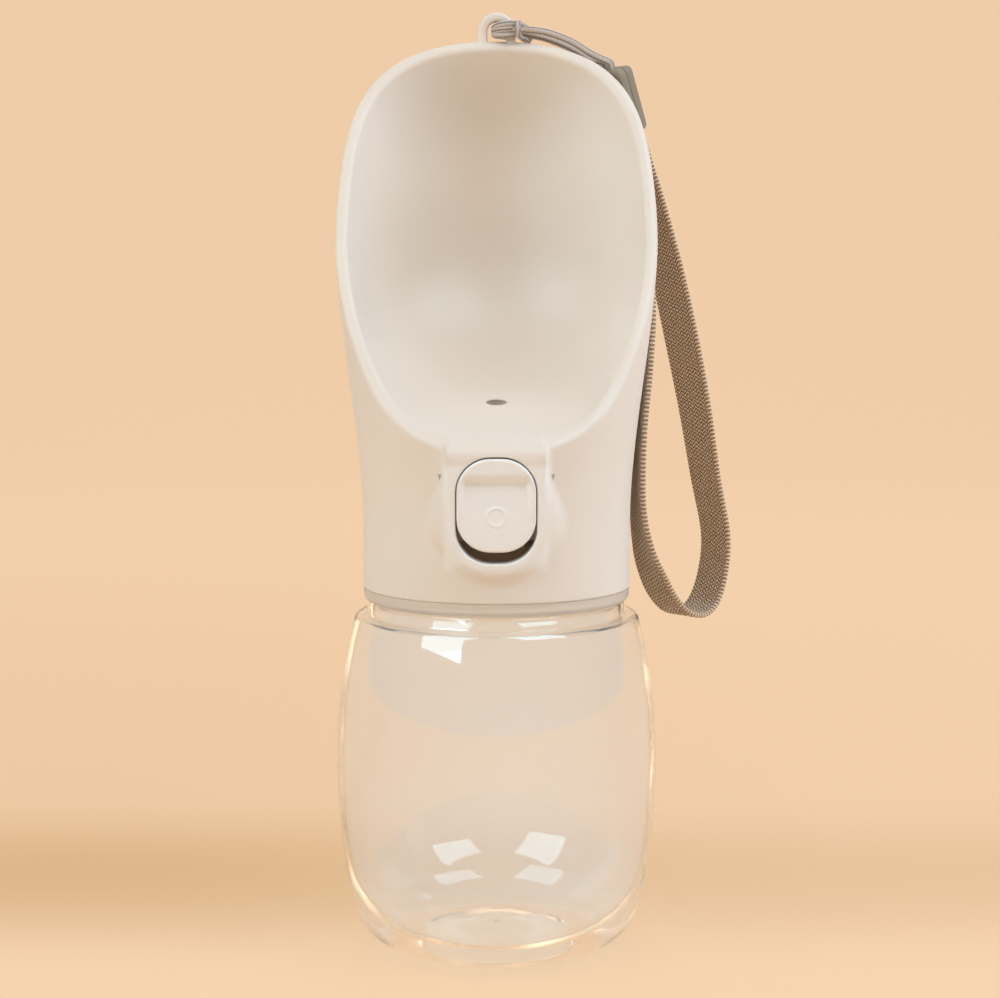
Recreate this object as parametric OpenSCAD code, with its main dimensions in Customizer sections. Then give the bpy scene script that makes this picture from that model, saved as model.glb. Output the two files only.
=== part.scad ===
// Dog travel water bottle: a clear bottle with a screw-on head that is a drinking trough.
// A button on the front opens a spring-closed valve, and water runs from the bottle into
// the trough. Sliding the button down locks it. A cord and a webbing wrist strap hang
// from a lug at the back of the head.
// Millimetres. The origin is the middle of the foot, +Z is up and the button faces -Y.

/* [Bottle] */
// Largest radius of the bottle, at its belly
belly_r = 37.1; // [36:0.1:40]
// Height of the belly above the foot
belly_h = 41.6; // [38:0.1:46]
// Radius of the long curve of the bottle's side
side_curve_r = 141; // [120:1:200]
// Radius of the rounded corner above the foot
foot_corner_r = 11; // [8:0.5:13]
// Height of the bottle's shoulder
shoulder_h = 77; // [70:0.5:90]
// Radius of the rounded edge of the shoulder
shoulder_edge_r = 1.8; // [1.2:0.1:2.5]
// Wall thickness of the bottle
bottle_wall = 2; // [1.6:0.1:2.4]
// Height of the hollow pushed up in the foot
foot_dome_h = 3.4; // [2:0.1:5]
// Radius of the step round the hollow in the foot
foot_step_r = 15.4; // [12:0.1:17]
// Height of the clear band under the neck
band_h = 3; // [2:0.1:5]
// Distance from the head's side in to the clear band's side
band_inset = 1.1; // [0.6:0.1:2]

/* [Neck and thread] */
// Radius of the neck under its thread
neck_r = 25.4; // [24:0.1:27]
// Wall thickness of the neck
neck_wall = 2.2; // [1.6:0.1:3]
// Height of the neck above the clear band
neck_h = 7.5; // [7:0.1:10]
// Height that one turn of the thread climbs
thread_pitch = 4; // [3.6:0.1:5]
// How far the thread stands out from the neck
thread_depth = 1.1; // [0.8:0.1:1.3]
// Width of the thread at its root
thread_w = 2; // [1.6:0.1:2.2]
// Radial gap between each thread and the wall that it faces
thread_gap = 0.5; // [0.4:0.05:0.8]

/* [Collar and gasket] */
// Height of the collar's rim that shows under the head
rim_h = 2.9; // [2:0.1:4]
// Gap between the clear band and the collar's rim
rim_gap = 0.2; // [0.1:0.05:0.5]
// Wall thickness of the collar
collar_wall = 2.1; // [1.6:0.1:2.6]
// Thickness of the plate that closes the top of the collar
plate_t = 2; // [1.6:0.1:3]
// Thickness of the gasket on the bottle's mouth
gasket_t = 1.3; // [1:0.1:2]
// Radius of the soft disc of the air valve
vent_r = 4.2; // [3.6:0.1:4.6]

/* [Head] */
// Largest radius of the head, at the trough
head_r = 36.6; // [34:0.1:38]
// Height of the head, from its lower edge to the top of its closed dome
head_h = 128.4; // [122:0.2:136]
// Height of the dome above the straight part of the head
dome_h = 35.5; // [32:0.5:40]
// Roundness of the dome, where 2 is a ball and more is squarer
dome_power = 3.6; // [2.6:0.1:4.2]
// Height at which the head begins to widen
flare_start = 14.9; // [12:0.5:20]
// Height of the straight part under the dome
straight_h = 12; // [6:0.5:16]
// Wall thickness of the head
head_wall = 2.8; // [2.2:0.1:3.2]
// Wall thickness of the head's skirt, round the collar
skirt_wall = 1.5; // [1.2:0.1:2]

/* [Trough] */
// Slant of the rim of the trough, from upright
rim_slant = 28; // [24:0.5:32]
// Slant of the rim at the lip, from upright
lip_slant = 49; // [44:0.5:54]
// Radius of the bend in the rim above the lip
rim_bend_r = 35; // [20:1:45]
// How far the closed top of the rim lies behind the head's axis
rim_back = 23; // [18:0.5:26]
// Thickness of the trough's floor
floor_t = 2.2; // [1.8:0.1:2.6]
// Slope of the floor in front of the outlet
floor_slope = 15; // [10:0.5:18]
// Rise of the rounded corner between the floor and the back wall
corner_rise = 30; // [20:0.5:34]
// Diameter of the outlet hole in the floor
outlet_d = 4.6; // [3.6:0.1:5.2]
// How far the outlet lies in front of the head's axis
outlet_front = 4; // [2:0.5:6]

/* [Button and lock] */
// Width of the button's window
window_w = 18.1; // [16:0.1:20]
// Height of the button's window
window_h = 23.5; // [22:0.1:25]
// Corner radius of the window
window_corner_r = 7.8; // [4:0.1:8]
// Gap between the button and the sides of its window
button_gap = 0.45; // [0.3:0.05:0.8]
// Travel of the button when it is pressed
press_travel = 3; // [2:0.1:3.4]
// Travel of the button when it slides down to lock
lock_travel = 2.2; // [2:0.1:2.6]
// How far the pad round the window stands out from the skirt
pad_proud = 1.5; // [1:0.1:2]
// Width of the pad left and right of the window
pad_side = 2; // [1.4:0.1:3]
// Thickness of the button's cap
cap_t = 3.2; // [2.6:0.1:4]
// Depth of the hollow under the button's thumb ridge
ridge_drop = 1.5; // [0.8:0.1:1.8]
// Height of the thumb ridge
ridge_h = 5.6; // [4:0.1:7]

/* [Valve] */
// Bore radius of the valve housing behind its seat
chamber_r = 5.4; // [5:0.1:6]
// Wall thickness of the valve housing
housing_wall = 2.1; // [1.6:0.1:2.6]
// Length of the valve housing in front of its seat
housing_front = 17; // [15:0.5:17.5]
// Length of the valve housing behind its seat
housing_back = 15; // [14:0.5:18]
// Radius of the valve stem
stem_r = 1.8; // [1.5:0.1:2.1]
// Thickness of the soft stopper
stopper_t = 2.8; // [2:0.1:3.4]
// Wire thickness of the return spring
return_wire = 0.8; // [0.6:0.05:1]
// Number of curls of the return spring
return_curls = 6; // [4:1:7]
// Wire thickness of the button spring
button_wire = 0.6; // [0.5:0.05:0.7]
// Number of curls of the button spring
button_curls = 3; // [2:1:3]

/* [Strap] */
// Width of the lug that holds the cord
lug_w = 8.8; // [8:0.1:10]
// Thickness of the lug, front to back
lug_t = 3; // [2.4:0.1:4]
// Height of the lug above the dome
lug_rise = 7; // [6:0.1:9]
// Wall thickness of the lug round its eye
lug_wall = 1.8; // [1.5:0.1:2.2]
// Diameter of the cord
cord_d = 1.7; // [1.4:0.1:2]
// Width of the webbing
webbing_w = 10; // [8:0.5:12]
// Thickness of the webbing
webbing_t = 1.2; // [1:0.1:1.4]
// Width of the clasp that joins the cord to the webbing
clasp_w = 10.8; // [10:0.1:13]
// Length of the clasp
clasp_l = 15.6; // [14:0.1:18]
// Thickness of the closed clasp
clasp_t = 4.4; // [4.2:0.1:6]

/* [Hidden] */
$fn = 96;
// Number of sides of a ring in the trough's surface
RING = 48;
// Length by which a cut passes through what it cuts
CUT = 1;
// Gap of a fit that doesn't move
FIT = 0.1;
// Gap of a close fit, between a plug, a stem or a screw and its bore
CLOSE = 0.05;
// Gap between pieces that slide
SLIDE = 0.3;

// Radii from the neck outwards, each resting on the one before
neck_in_r = neck_r - neck_wall;
thread_tip_r = neck_r + thread_depth;
collar_in_r = thread_tip_r + thread_gap;
collar_out_r = collar_in_r + collar_wall;
skirt_in_r = collar_out_r + FIT;
skirt_r = skirt_in_r + skirt_wall;
band_r = skirt_r - band_inset;

// Heights from the foot up
band_top = shoulder_h + band_h;
mouth_z = band_top + neck_h;
rim_z = band_top + rim_gap;
head_z = rim_z + rim_h;
ceiling_z = mouth_z + gasket_t;
plate_top_z = ceiling_z + plate_t;

// Thread helix: half of the thread's width at its root and at its crest
thread_root = thread_w / 2;
thread_crest = thread_w * 0.22;
thread_start_z = band_top + thread_root + 0.6;
thread_turns = (neck_h - thread_w - 1.1) / thread_pitch;
// Each turn of the collar's thread lies half a pitch from the neck's thread
collar_thread_start = 160;
collar_thread_turns = thread_turns + 0.1;

// Foot: the corner's arc meets the side's arc, and both keep their centres inside the wall
side_x = belly_r - side_curve_r;
corner_x = side_x + sqrt(pow(side_curve_r - foot_corner_r, 2) - pow(belly_h - foot_corner_r, 2));
corner_a = asin((foot_corner_r - belly_h) / (side_curve_r - foot_corner_r));
foot_flat_r = foot_step_r + 2;
// Height at which the side's arc hands over to the shoulder's rounded edge
shoulder_a = asin((shoulder_h - shoulder_edge_r - belly_h) / (side_curve_r - shoulder_edge_r));

// Head: all heights from here on are measured from the head's lower edge
collar_top = plate_top_z - head_z;
dome_start = head_h - dome_h;
flare_end = dome_start - straight_h;
dome_steps = 14;

// Button's window and what stands behind it, from the collar's plate up
window_bottom = collar_top + 1.4;
window_top = window_bottom + window_h;
window_mid = (window_bottom + window_top) / 2;
button_top = window_top - 0.6;
button_bottom = window_bottom + lock_travel + 0.4;
button_h = button_top - button_bottom;
button_w = window_w - 2 * button_gap;
axis_h = (button_top + button_bottom) / 2;
pad_y = -skirt_r - pad_proud;
pad_w = window_w + 2 * pad_side;
pad_bottom = window_bottom - 3;
window_back = 0.6 - sqrt(pow(skirt_r - head_wall, 2) - pow(window_w / 2, 2));
cap_front = pad_y - 0.6;
cap_back = cap_front + cap_t;
boss_r = 3.6;
boss_tip_r = boss_r + 0.6;
boss_tip_l = 1.4;
carriage_t = 2;
carriage_y = cap_back + press_travel + 2.6;
carriage_back = carriage_y + carriage_t;
carriage_half_w = window_w / 2 + 1.1;
carriage_h = 17;
boss_end = carriage_back + FIT + boss_tip_l;
pocket_r = 1.2;
nose_r = 0.9;
guide_in = window_w / 2 + 0.3;
guide_w = 2.2;
guide_front = 3 - skirt_r;
guide_end = carriage_back + SLIDE + 1.2;
guide_foot = collar_top + 1;

// Trough: lip, outlet and the slanted rim
lip_h = window_top + 2.1;
rim_foot = [0.9 - skirt_r, lip_h];
rim_top = [rim_back, head_h - 3];
outlet_y = -outlet_front;
outlet_h = lip_h + 1.5 + tan(floor_slope) * (skirt_r - 2.7 - outlet_front);
lip_rise = 1.5;
least_corner = 0.5;
floor_reach = skirt_r - outlet_front - 0.7;
bowl_power = 2.4;

// Valve, measured along Y
seat_y = 2;
housing_r = chamber_r + housing_wall;
seat_r = chamber_r - 1.6;
housing_y = seat_y - housing_front;
housing_end = seat_y + housing_back;
gland_t = 3.8;
seal_d = 1.6;
seal_out_r = stem_r + 0.06 + seal_d;
retainer_t = 1;
stopper_r = chamber_r - 0.4;
collet_t = 1.2;
collet_post_l = 1.6;
spring_y = seat_y + stopper_t + collet_t;
plug_l = 3;
plug_nose_l = 1.4;
plug_rim_t = 1.3;
plug_rim_r = housing_r - 0.3;
spring_end = housing_end - plug_l;
return_mean_r = 3.2;
// Posts inside the return spring, on the stem's collet and on the plug
spring_post_r = return_mean_r - return_wire;
collet_r = return_mean_r + 0.9;
button_mean_r = boss_r + 1.1;
inlet_y = 9;
inlet_r = 2.8;
inlet_out_r = 4;
inlet_seal_d = 1.5;
cup_r = inlet_out_r + inlet_seal_d + 0.06;
cup_h = 3.6;
spout_r = 2;
spout_out_r = 3.2;
spout_h = 13;
grommet_wall = 1.2;
grommet_h = 8.5;
// Boss under the floor that holds the grommet
socket_r = spout_out_r + grommet_wall + FIT;
socket_wall = 1.6;
socket_h = 8;
socket_top = outlet_h - floor_t;
ear_x = 13.5;
ear_y = 4;
ear_r = 3.6;
post_r = ear_r - 0.4;
ear_low = 1.5;
ear_t = 3;
screw_r = 1.2;
screw_l = 9;
screw_head_r = 2.3;
screw_head_h = 1.6;
screw_slot_l = 2 * screw_head_r - 2;
screw_slot_w = 0.5;
screw_slot_d = 0.9;
screw_tip_gap = 0.5;
vent_x = -15;
vent_y = 6;
vent_stem_r = 1.3;
vent_hole_r = 0.7;
vent_hole_at = vent_r - vent_stem_r;
cup_wall = 1.2;
// Ridge round the collar that snaps into a groove in the head's skirt
snap_h = 3;
snap_rise = 0.6;
snap_w = 2.2;
snap_flat = 0.3;

// Lug, clasp and the strap's route, measured from the head's lower edge
lug_y = rim_back + 2;
lug_top = dome_surface(lug_y) + lug_rise;
clasp_az = 42;
clasp_tilt = 22;
clasp_h = head_h - 16.2;
clasp_r = head_at(clasp_h) + 0.8 + clasp_t / 2 / cos(clasp_tilt);
clasp_corner_r = 2;
layer_gap = webbing_t / 2 + 0.15;
strand_gap = cord_d / 2 + 0.25;
cord_sides = 8;
cord_steps = 2;
webbing_steps = 2;
// Cord: from the clasp to the lug, round the lug's right leg and back to the clasp
cord_points = [[22.5, 23.4, 122.8], [17.5, 23.5, 125.8], [12, 23.2, 127.8], [7.5, 22.5, 128.4],
    [4.3, 22.2, 128.4], [2, 22.8, 128.3], [1.5, 25, 128.2], [2, 27.2, 128.1],
    [4.3, 27.8, 128], [7.5, 27.5, 127.8], [12, 27.3, 126.8], [17.5, 27.1, 124.6], [22.5, 26.6, 121.6]];
// Webbing: x, y, height and the way its face looks, down the inner leg and up the outer one
webbing_points = [[30.8, 26, 98, 40], [32.2, 20.6, 85, 33], [34.7, 13.3, 66, 22], [34.5, 9.6, 51, 16],
    [33.2, 7, 34, 12], [33, 7, 18, 14], [34.4, 8, 8, 24], [36.8, 10.2, 1, 36], [39.4, 12.7, -4.4, 40],
    [42.8, 16.1, -8.4, 42], [46.6, 20, -9.7, 43], [50.2, 23.6, -7.2, 41], [52.6, 26.2, 0, 38],
    [53.1, 27.2, 9, 37], [50.7, 27.7, 22, 39], [48.1, 28, 38, 45], [45, 28.6, 54, 49],
    [41, 29.3, 72, 48], [36.6, 29.8, 88.5, 44], [33.6, 29.2, 98, 42]];

// Smooth step from 0 to 1
function ease(t) = t * t * (3 - 2 * t);
// Outer radius of the head at height h above its lower edge
function head_at(h) =
    h <= flare_start ? skirt_r :
    h <= flare_end ? skirt_r + (head_r - skirt_r) * ease((h - flare_start) / (flare_end - flare_start)) :
    h <= dome_start ? head_r :
    head_r * pow(max(0, 1 - pow((h - dome_start) / dome_h, dome_power)), 1 / dome_power);
// Height of the dome's surface at distance r from the axis
function dome_surface(r) = dome_start + dome_h * pow(1 - pow(r / head_r, dome_power), 1 / dome_power);
// Inner radius of the head at height h
function inside_at(h) =
    h <= dome_start ? head_at(h) - head_wall :
    (head_r - head_wall) * pow(max(0, 1 - pow((h - dome_start) / (dome_h - head_wall), dome_power)),
        1 / dome_power);
// Distance from the outlet, in direction a, to the circle of radius r round the head's axis
function reach(a, r) = outlet_front * sin(a) + sqrt(r * r - pow(outlet_front * cos(a), 2));
// Height of the plain floor where it would meet the wall, in direction a
function floor_end(a) = outlet_h + tan(floor_slope) * floor_reach * sin(a);
// Largest rise of the corner that leaves the rim at the lip as wide as the wall, in direction a
function corner_room(a) =
    let (y = outlet_y + reach(a, inside_at(floor_end(a) + lip_rise)) * sin(a))
    lip_h + (y - rim_foot[0]) / tan(lip_slant) - floor_end(a) - 0.3;
// Rise of the rounded corner between the trough's floor and its wall, in direction a
function corner_at(a) =
    max(least_corner, min(corner_room(a),
        lip_rise + (corner_rise - lip_rise) * pow((1 + sin(a)) / 2, 0.7)));
// Height at which the rounded corner has become the wall
function wall_start(a) = floor_end(a) + corner_at(a);
// Distance from the outlet and height of the trough's surface, b degrees round its corner
function bowl_share(b) = pow(sin(b), 2 / bowl_power);
function bowl_out(a, b) = reach(a, inside_at(wall_start(a))) * bowl_share(b);
function bowl_up(a, b) = outlet_h + (floor_end(a) - outlet_h) * bowl_share(b)
    + corner_at(a) * (1 - pow(cos(b), 2 / bowl_power));
// Point at distance d from the outlet in direction a, at height h
function round_outlet(a, d, h) = [d * cos(a), outlet_y + d * sin(a), h];
// Point of the floor's underside, floor_t away from the trough's surface
function under_bowl(a, b) =
    let (dx = bowl_out(a, b + 1) - bowl_out(a, b - 1), dz = bowl_up(a, b + 1) - bowl_up(a, b - 1),
        l = norm([dx, dz]))
    [bowl_out(a, b) + floor_t * dz / l, bowl_up(a, b) - floor_t * dx / l];

// One unit long
function unit(v) = v / norm(v);
// Place in the head of a point of the clasp: x outwards, y across and z along it
function clasp_point(p) =
    let (out = p[0] * cos(clasp_tilt) - p[2] * sin(clasp_tilt),
        up = p[0] * sin(clasp_tilt) + p[2] * cos(clasp_tilt))
    [(clasp_r + out) * cos(clasp_az) - p[1] * sin(clasp_az),
        (clasp_r + out) * sin(clasp_az) + p[1] * cos(clasp_az), clasp_h + up];
// Point between p1 and p2 on the smooth curve through four points
function curve_point(p0, p1, p2, p3, t) =
    0.5 * (2 * p1 + (p2 - p0) * t + (2 * p0 - 5 * p1 + 4 * p2 - p3) * t * t
        + (3 * p1 - p0 - 3 * p2 + p3) * t * t * t);
// The smooth curve through all the points of p, with n steps from each to the next
function curve(p, n) =
    let (m = len(p))
    [for (i = [0 : m - 2], k = [0 : n - 1])
        curve_point(p[max(i - 1, 0)], p[i], p[i + 1], p[min(i + 2, m - 1)], k / n), p[m - 1]];
// Direction of a route at its point i
function heading(p, i) = unit(xyz(p[min(i + 1, len(p) - 1)]) - xyz(p[max(i - 1, 0)]));
function xyz(p) = [p[0], p[1], p[2]];

// Point of the webbing's layer on one side of the clasp's middle, d below the clasp
function webbing_on_clasp(side, d) = concat(clasp_point([side * layer_gap, 0, -clasp_end - d]), clasp_az);

// Whole routes, each starting and ending square on the clasp
clasp_end = clasp_l / 2;
cord_lead = 1.5;
webbing_lead = 1.2;
cord_route = concat([clasp_point([0, -strand_gap, clasp_end])],
    curve(concat([clasp_point([0, -strand_gap, clasp_end + cord_lead])], cord_points,
        [clasp_point([0, strand_gap, clasp_end + cord_lead])]), cord_steps),
    [clasp_point([0, strand_gap, clasp_end])]);
webbing_route = concat([webbing_on_clasp(-1, 0)],
    curve(concat([webbing_on_clasp(-1, webbing_lead)], webbing_points,
        [webbing_on_clasp(1, webbing_lead)]), webbing_steps),
    [webbing_on_clasp(1, 0)]);

// Closed skin over rings of equally many points, each ring seen turning left from its far side
module skin(rings) {
    n = len(rings[0]);
    last = (len(rings) - 1) * n;
    sides = [for (i = [0 : len(rings) - 2], j = [0 : n - 1])
        let (a = i * n + j, b = i * n + (j + 1) % n) each [[a, a + n, b + n], [a, b + n, b]]];
    ends = [for (j = [1 : n - 2]) each [[0, j, j + 1], [last, last + j + 1, last + j]]];
    polyhedron([for (ring = rings) each ring], concat(sides, ends));
}

// Outline with rounded corners, centred
module rounded_outline(w, h, r) {
    square([w - 2 * r, h], center = true);
    square([w, h - 2 * r], center = true);
    for (x = [-1, 1], y = [-1, 1])
        translate([x * (w / 2 - r), y * (h / 2 - r)])
            circle(r);
}

// Puts its children at height h, with their Z axis pointing to the back of the head
module facing_back(h, y) {
    translate([0, y, h])
        rotate([-90, 0, 0])
            children();
}

// Ring of radius r and round section d, lying in the XY plane
module o_ring(r, d) {
    rotate_extrude()
        translate([r, 0])
            circle(d / 2, $fn = 32);
}

// Helical ridge that climbs from height z0: foot is its root's radius and tip is its crest's
module helix_ridge(foot, tip, z0, start, turns) {
    steps = ceil(turns * 32);
    skin([for (i = [0 : steps])
        let (a = start + turns * 360 * i / steps, z = z0 + thread_pitch * a / 360,
            k = min(1, 4 * min(i, steps - i) / steps + 0.15),
            t = foot + (tip - foot) * k)
        [for (p = tip > foot ?
            [[foot, thread_root], [t, thread_crest], [t, -thread_crest], [foot, -thread_root]] :
            [[foot, -thread_root], [t, -thread_crest], [t, thread_crest], [foot, thread_root]])
            [p[0] * cos(a), p[0] * sin(a), z + p[1]]]]);
}

// Wire spring of mean radius r and length l, from z = 0 up, with its ends inside that length
module wire_spring(r, wire, l, curls) {
    sides = 6;
    per_curl = 8;
    steps = curls * per_curl;
    pitch = (l - wire) / curls;
    skin([for (i = [0 : steps])
        let (a = 360 * i / per_curl, z = wire / 2 + pitch * i / per_curl)
        [for (k = [0 : sides - 1])
            let (b = 360 * k / sides, out = r + wire / 2 * cos(b))
            [out * cos(a), out * sin(a), z - wire / 2 * sin(b)]]]);
}

// Half outline of the bottle's wall surface, t inside the outer surface, from the foot up
function bottle_side(t) = concat(
    [for (i = [0 : 8]) let (a = -90 + (90 + corner_a) * i / 8)
        [corner_x + (foot_corner_r - t) * cos(a), foot_corner_r + (foot_corner_r - t) * sin(a)]],
    [for (i = [1 : 24]) let (a = corner_a + (shoulder_a - corner_a) * i / 24)
        [side_x + (side_curve_r - t) * cos(a), belly_h + (side_curve_r - t) * sin(a)]]);

// Clear blown bottle with its thread
module bottle() {
    edge_x = side_x + (side_curve_r - shoulder_edge_r) * cos(shoulder_a);
    edge = [for (i = [1 : 5]) let (a = shoulder_a + (90 - shoulder_a) * i / 5)
        [edge_x + shoulder_edge_r * cos(a), shoulder_h - shoulder_edge_r + shoulder_edge_r * sin(a)]];
    outside = concat(
        [[0, foot_dome_h], [foot_step_r * 0.43, foot_dome_h * 0.9], [foot_step_r, foot_dome_h * 0.45],
            [foot_flat_r, 0]],
        bottle_side(0), edge,
        [[band_r, shoulder_h], [band_r, band_top - 0.4], [band_r - 0.4, band_top], [neck_r, band_top],
            [neck_r, mouth_z - 0.5], [neck_r - 0.5, mouth_z], [neck_in_r, mouth_z]]);
    shoulder_in = shoulder_h - bottle_wall;
    inside = concat(
        [[0, foot_dome_h + bottle_wall], [foot_step_r, foot_dome_h * 0.45 + bottle_wall],
            [foot_flat_r + bottle_wall / 2, bottle_wall]],
        [for (p = bottle_side(bottle_wall)) if (p[1] < shoulder_in - 1) p],
        [[side_x + sqrt(pow(side_curve_r - bottle_wall, 2) - pow(shoulder_in - 1 - belly_h, 2)) - 1,
            shoulder_in], [band_r - bottle_wall - 0.4, shoulder_in],
            [band_r - bottle_wall - 0.4, shoulder_h], [neck_in_r, band_top - 1], [neck_in_r, mouth_z]]);
    color([0.86, 0.82, 0.74, 0.45]) {
        rotate_extrude()
            polygon(concat(outside, [for (i = [len(inside) - 2 : -1 : 0]) inside[i]]));
        helix_ridge(neck_r - 0.3, thread_tip_r, thread_start_z, 0, thread_turns);
    }
}

// Soft ring that seals the bottle's mouth against the collar's ceiling
module mouth_gasket() {
    color([0.93, 0.93, 0.9])
        translate([0, 0, mouth_z])
            difference() {
                cylinder(gasket_t, r = collar_in_r - 0.3);
                translate([0, 0, -CUT])
                    cylinder(gasket_t + 2 * CUT, r = neck_in_r + 0.2);
            }
}

// Side view of the collar's snap ridge, standing on a wall of radius r, above the head's edge
function snap_ridge(r) = [[r, snap_h - snap_w / 2], [r + snap_rise, snap_h],
    [r + snap_rise, snap_h + snap_flat], [r, snap_h + snap_w / 2]];

// Threaded insert of the head: its rim shows under the head and its plate carries the valve
module thread_collar() {
    rim_corner = 1.4;
    rim_curve = [for (i = [0 : 6]) let (a = -90 + 15 * i)
        [skirt_r - FIT - rim_corner + rim_corner * cos(a), rim_z + rim_corner + rim_corner * sin(a)]];
    color([0.84, 0.8, 0.72]) {
        difference() {
            rotate_extrude()
                polygon(concat([[collar_in_r, rim_z]], rim_curve,
                    [[skirt_r - FIT, head_z], [collar_out_r, head_z]],
                    [for (p = snap_ridge(collar_out_r)) [p[0], head_z + p[1]]],
                    [[collar_out_r, plate_top_z],
                        [0, plate_top_z], [0, ceiling_z], [collar_in_r, ceiling_z]]));
            translate([0, inlet_y, ceiling_z - CUT])
                cylinder(plate_t + 2 * CUT, r = inlet_r);
            translate([vent_x, vent_y, ceiling_z - CUT])
                cylinder(plate_t + 2 * CUT, r = vent_stem_r + FIT);
            for (a = [0 : 90 : 270])
                translate([vent_x + vent_hole_at * cos(a), vent_y + vent_hole_at * sin(a), ceiling_z - CUT])
                    cylinder(plate_t + 2 * CUT, r = vent_hole_r);
        }
        translate([0, inlet_y, plate_top_z - 0.5])
            difference() {
                cylinder(cup_h + 0.5, r = cup_r + cup_wall);
                translate([0, 0, 0.5])
                    cylinder(cup_h + CUT, r = cup_r);
                translate([0, 0, -CUT])
                    cylinder(cup_h, r = inlet_r);
            }
        helix_ridge(collar_in_r + 0.3, neck_r + thread_gap, thread_start_z - thread_pitch / 2,
            collar_thread_start, collar_thread_turns);
    }
}

// Soft mushroom valve that lets air into the bottle as water leaves
module vent_valve() {
    color([0.95, 0.95, 0.93])
        translate([vent_x, vent_y, 0])
            rotate_extrude()
                polygon([[0, ceiling_z - 1], [vent_r * 0.9, ceiling_z - 0.7], [vent_r, ceiling_z - 0.3],
                    [vent_r - 0.3, ceiling_z], [vent_stem_r, ceiling_z], [vent_stem_r, plate_top_z],
                    [vent_stem_r + 0.7, plate_top_z], [vent_stem_r + 0.6, plate_top_z + 0.8],
                    [vent_stem_r - 0.4, plate_top_z + 2.4], [0, plate_top_z + 2.6]]);
}

// Half outline of the head's outer surface
function head_outline() = concat(
    [[0, 0], [skirt_r - 0.4, 0], [skirt_r, 0.4], [skirt_r, flare_start]],
    [for (i = [1 : 16]) let (h = flare_start + (flare_end - flare_start) * i / 16) [head_at(h), h]],
    [for (i = [0 : dome_steps]) let (a = 90 * i / dome_steps)
        [head_r * pow(cos(a), 2 / dome_power), dome_start + dome_h * pow(sin(a), 2 / dome_power)]]);

// Everything in front of and above the slanted rim
module rim_cut() {
    d1 = [sin(lip_slant), cos(lip_slant)];
    d2 = [sin(rim_slant), cos(rim_slant)];
    gap = rim_top - rim_foot;
    det = d1[0] * d2[1] - d1[1] * d2[0];
    corner = rim_foot + d1 * (gap[0] * d2[1] - gap[1] * d2[0]) / det;
    bend = lip_slant - rim_slant;
    start = corner - d1 * rim_bend_r * tan(bend / 2);
    centre = start + [-d1[1], d1[0]] * rim_bend_r;
    arc = [for (i = [0 : 8]) let (a = lip_slant - bend * i / 8)
        centre + rim_bend_r * [cos(a), -sin(a)]];
    far = 60;
    rotate([90, 0, 90])
        linear_extrude(4 * head_r, center = true)
            polygon(concat([rim_foot], arc, [rim_top + d2 * far, rim_top + d2 * far - [2 * far, 0],
                rim_foot - [far, 0]]));
}

// Inside of the trough: floor, rounded corner, wall and dome as one smooth skin
module trough_space() {
    angles = [for (j = [0 : RING - 1]) 360 * j / RING];
    floor_rings = [for (b = [4, 14, 26, 38, 50, 61, 71, 80, 90])
        [for (a = angles) round_outlet(a, bowl_out(a, b), bowl_up(a, b))]];
    wall_rings = [for (k = [1 : 5])
        [for (a = angles) let (h = wall_start(a) + (dome_start - wall_start(a)) * k / 5)
            round_outlet(a, reach(a, inside_at(h)), h)]];
    dome_rings = [for (c = [10, 22, 36, 50, 64, 78])
        let (r = (head_r - head_wall) * pow(cos(c), 2 / dome_power),
            h = dome_start + (dome_h - head_wall) * pow(sin(c), 2 / dome_power))
        [for (a = angles) round_outlet(a, r < 12 ? r : reach(a, r), h)]];
    skin(concat(floor_rings, wall_rings, dome_rings));
}

// Space under the trough's floor, open to the skirt
module chamber_space() {
    angles = [for (j = [0 : RING / 2 - 1]) 720 * j / RING];
    ceiling_rings = [for (b = [76, 64, 50, 34, 18, 6])
        [for (a = angles) let (p = under_bowl(a, b)) round_outlet(a, p[0], p[1])]];
    wide_ring = [for (a = angles) round_outlet(a, 2 * head_r, under_bowl(a, 76)[1])];
    low_ring = [for (a = angles) round_outlet(a, 2 * head_r, -2 * CUT)];
    wall = [for (i = [0 : 14]) let (h = flare_start + (flare_end - flare_start) * i / 14)
        [head_at(h) - head_wall, h]];
    difference() {
        intersection() {
            skin(concat([low_ring, wide_ring], ceiling_rings));
            rotate_extrude()
                polygon(concat([[0, -CUT], [skirt_in_r, -CUT], [skirt_in_r, collar_top],
                    [skirt_r - head_wall, collar_top]], wall, [[0, flare_end]]));
        }
        translate([0, 0, -2 * floor_t])
            rim_cut();
    }
}

// Raised pad that frames the button
module pad() {
    top = lip_h + 6;
    h = top - pad_bottom;
    spread = 2.2;
    hull() {
        facing_back((top + pad_bottom) / 2, pad_y)
            linear_extrude(0.1)
                rounded_outline(pad_w - 1, h - 1, window_corner_r + pad_side - 0.5, $fn = 32);
        facing_back((top + pad_bottom) / 2, pad_y + 0.5)
            linear_extrude(0.1)
                rounded_outline(pad_w, h, window_corner_r + pad_side, $fn = 32);
        facing_back((top + pad_bottom) / 2, pad_y + 4)
            linear_extrude(2)
                rounded_outline(pad_w + 2 * spread, h + 2 * spread, window_corner_r + pad_side + spread,
                    $fn = 32);
    }
}

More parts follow.
